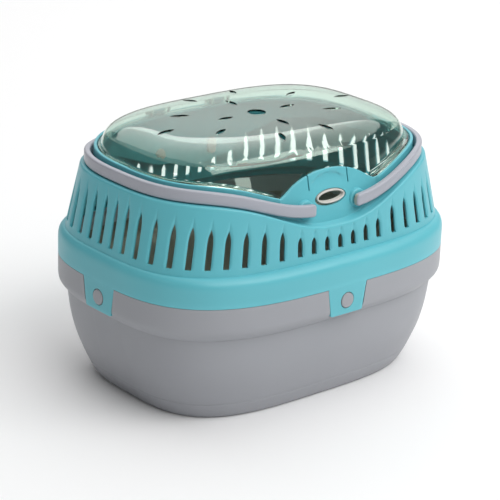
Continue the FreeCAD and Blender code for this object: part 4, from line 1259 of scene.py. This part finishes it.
arms = Soup()
for sx in (-1, 1):
    for o_ in (-LUG_W / 2 - 3.4, LUG_W / 2 + 0.4):
        x0 = sx * HINGE_X + o_
        o = [(83.6, 190.0), (HINGE_Y - 1.0, 190.0)]
        for a in np.linspace(-math.pi / 2, math.pi / 2, 12):
            o.append((HINGE_Y + LUG_R * math.cos(a), HINGE_Z + LUG_R * math.sin(a)))
        o += [(84.0, 195.0), (82.4, 194.4)]
        arms.add(*slab(o, "x", x0, x0 + 3.0, 0.3))
    v, f = lathe([(1.5, -(LUG_W / 2 + 3.0)), (1.5, LUG_W / 2 + 3.0)], (sx * HINGE_X, HINGE_Y, HINGE_Z), (1, 0, 0), 28)
    arms.add(v, f)
make("dome_lid_hinge_arms", arms.verts(), arms.f, [CLEAR], "lid", None, 40)

# latch tongue behind the plate, with its hollow oval boss
tong = Soup()
TX = 17.0
tx_ = np.linspace(-TX, TX, 25)
tzs = np.concatenate([[154.5, 154.9], np.linspace(156, 182.2, 22)])


def front_y(x, z):
    a, b, n = WA(z), WF(z), WN(z)
    return -b * (1 - np.abs(x / a) ** n) ** (1 / n)


gv = []
for dpt in (0.0, 2.2):
    for z in tzs:
        r_c = 2.2
        for x in tx_:
            gv.append((x, float(front_y(x, z)) + dpt, z))
nz, nx = len(tzs), len(tx_)
gf = grid_faces(nz, nx, False, False)
gf += [[i + nz * nx for i in f[::-1]] for f in gf]
edge_loop = [c for c in range(nx)] + [r * nx + nx - 1 for r in range(1, nz)] + [(nz - 1) * nx + c for c in range(nx - 2, -1, -1)] + [r * nx for r in range(nz - 2, 0, -1)]
for i in range(len(edge_loop)):
    a, b = edge_loop[i], edge_loop[(i + 1) % len(edge_loop)]
    gf.append([a, a + nz * nx, b + nz * nx, b])
tong.add(np.array(gv), gf)
make("lid_latch_tongue_strip", tong.verts(), tong.f, [CLEAR], "latch", "lid_latch_tongue", 40)
ring = Soup()
seg = 84
prof = [(0.0, 0.0), (0.0, -2.5), (0.12, -3.0), (0.45, -3.25), (1.0, -3.3), (1.4, -3.1), (1.65, -2.6), (1.8, 0.0)]
rv = []
for ins, dy in prof:
    for i in range(seg):
        a = TAU * i / seg
        x, z = 0.6 + (13.9 - ins) * math.cos(a), LATCH_Z + 0.45 + (5.1 - ins) * math.sin(a)
        rv.append((x, float(front_y(x, z)) + dy + 0.02, z))
ring.add(np.array(rv), grid_faces(len(prof), seg, True, True))
# the boss ring takes the pale grey: painted light on the clear boss's rim
make("lid_latch_boss_ring", ring.verts(), ring.f, [BOSS_RIM_PAINTED_GLOW], "latch", None, 45)

# ------------------------------------------------------------------ floor and light
me = bpy.data.meshes.new("floor")
me.from_pydata([(-9, -9, 0), (9, -9, 0), (9, 9, 0), (-9, 9, 0)], [], [[0, 1, 2, 3]])
floor = bpy.data.objects.new("floor", me)
bpy.context.scene.collection.objects.link(floor)
fm, fnt, fb = new_mat("floor_paper")
fb.inputs["Base Color"].default_value = (0.90, 0.90, 0.90, 1)
fb.inputs["Roughness"].default_value = 0.9
fb.inputs["Specular IOR Level"].default_value = 0.1
me.materials.append(fm)


def area(name, loc, aim, size, size_y, power, col=(1, 1, 1)):
    d = bpy.data.lights.new(name, "AREA")
    d.shape = "RECTANGLE"
    d.size, d.size_y = size, size_y
    d.energy = power
    d.color = col
    o = bpy.data.objects.new(name, d)
    bpy.context.scene.collection.objects.link(o)
    o.location = loc
    o.rotation_euler = (Vector(aim) - Vector(loc)).to_track_quat("-Z", "Y").to_euler()
    return o


def panel(name, x0, x1, y0, y1, z, radiance):
    """A flat soft box over the table, given by its edges in metres."""
    a = (x1 - x0) * (y1 - y0)
    return area(name, ((x0 + x1) / 2, (y0 + y1) / 2, z), ((x0 + x1) / 2, (y0 + y1) / 2, 0), x1 - x0, y1 - y0, radiance * 4 * a)


def box_at(name, azimuth, elevation, distance, w, h, radiance, col=(1, 1, 1)):
    """A soft box that faces the carrier's dome from a direction in degrees."""
    a, e = math.radians(azimuth), math.radians(elevation)
    loc = (distance * math.cos(e) * math.cos(a), distance * math.cos(e) * math.sin(a), 0.18 + distance * math.sin(e))
    return area(name, loc, (0, 0, 0.18), w, h, radiance * 4 * w * h, col)


panel("overhead", -0.75, 2.6, -2.3, 3.2, 1.9, 1.0)
box_at("key", -78, 46, 2.5, 3.2, 1.4, 2.0)
box_at("backdrop", 50, 16, 3.8, 4.6, 1.9, 0.52)
box_at("window_left", -176, 23, 2.0, 0.34, 0.26, 2.2)
box_at("window_front", -86, 3.5, 2.0, 0.42, 0.30, 2.2)
world = bpy.data.worlds.new("studio")
bpy.context.scene.world = world
world.use_nodes = True
bg = world.node_tree.nodes["Background"]
bg.inputs["Color"].default_value = (1, 1, 1, 1)
bg.inputs["Strength"].default_value = 0.16
bpy.context.scene.view_settings.view_transform = "Standard"
bpy.context.scene.view_settings.look = "None"
bpy.context.scene.view_settings.exposure = 0.0
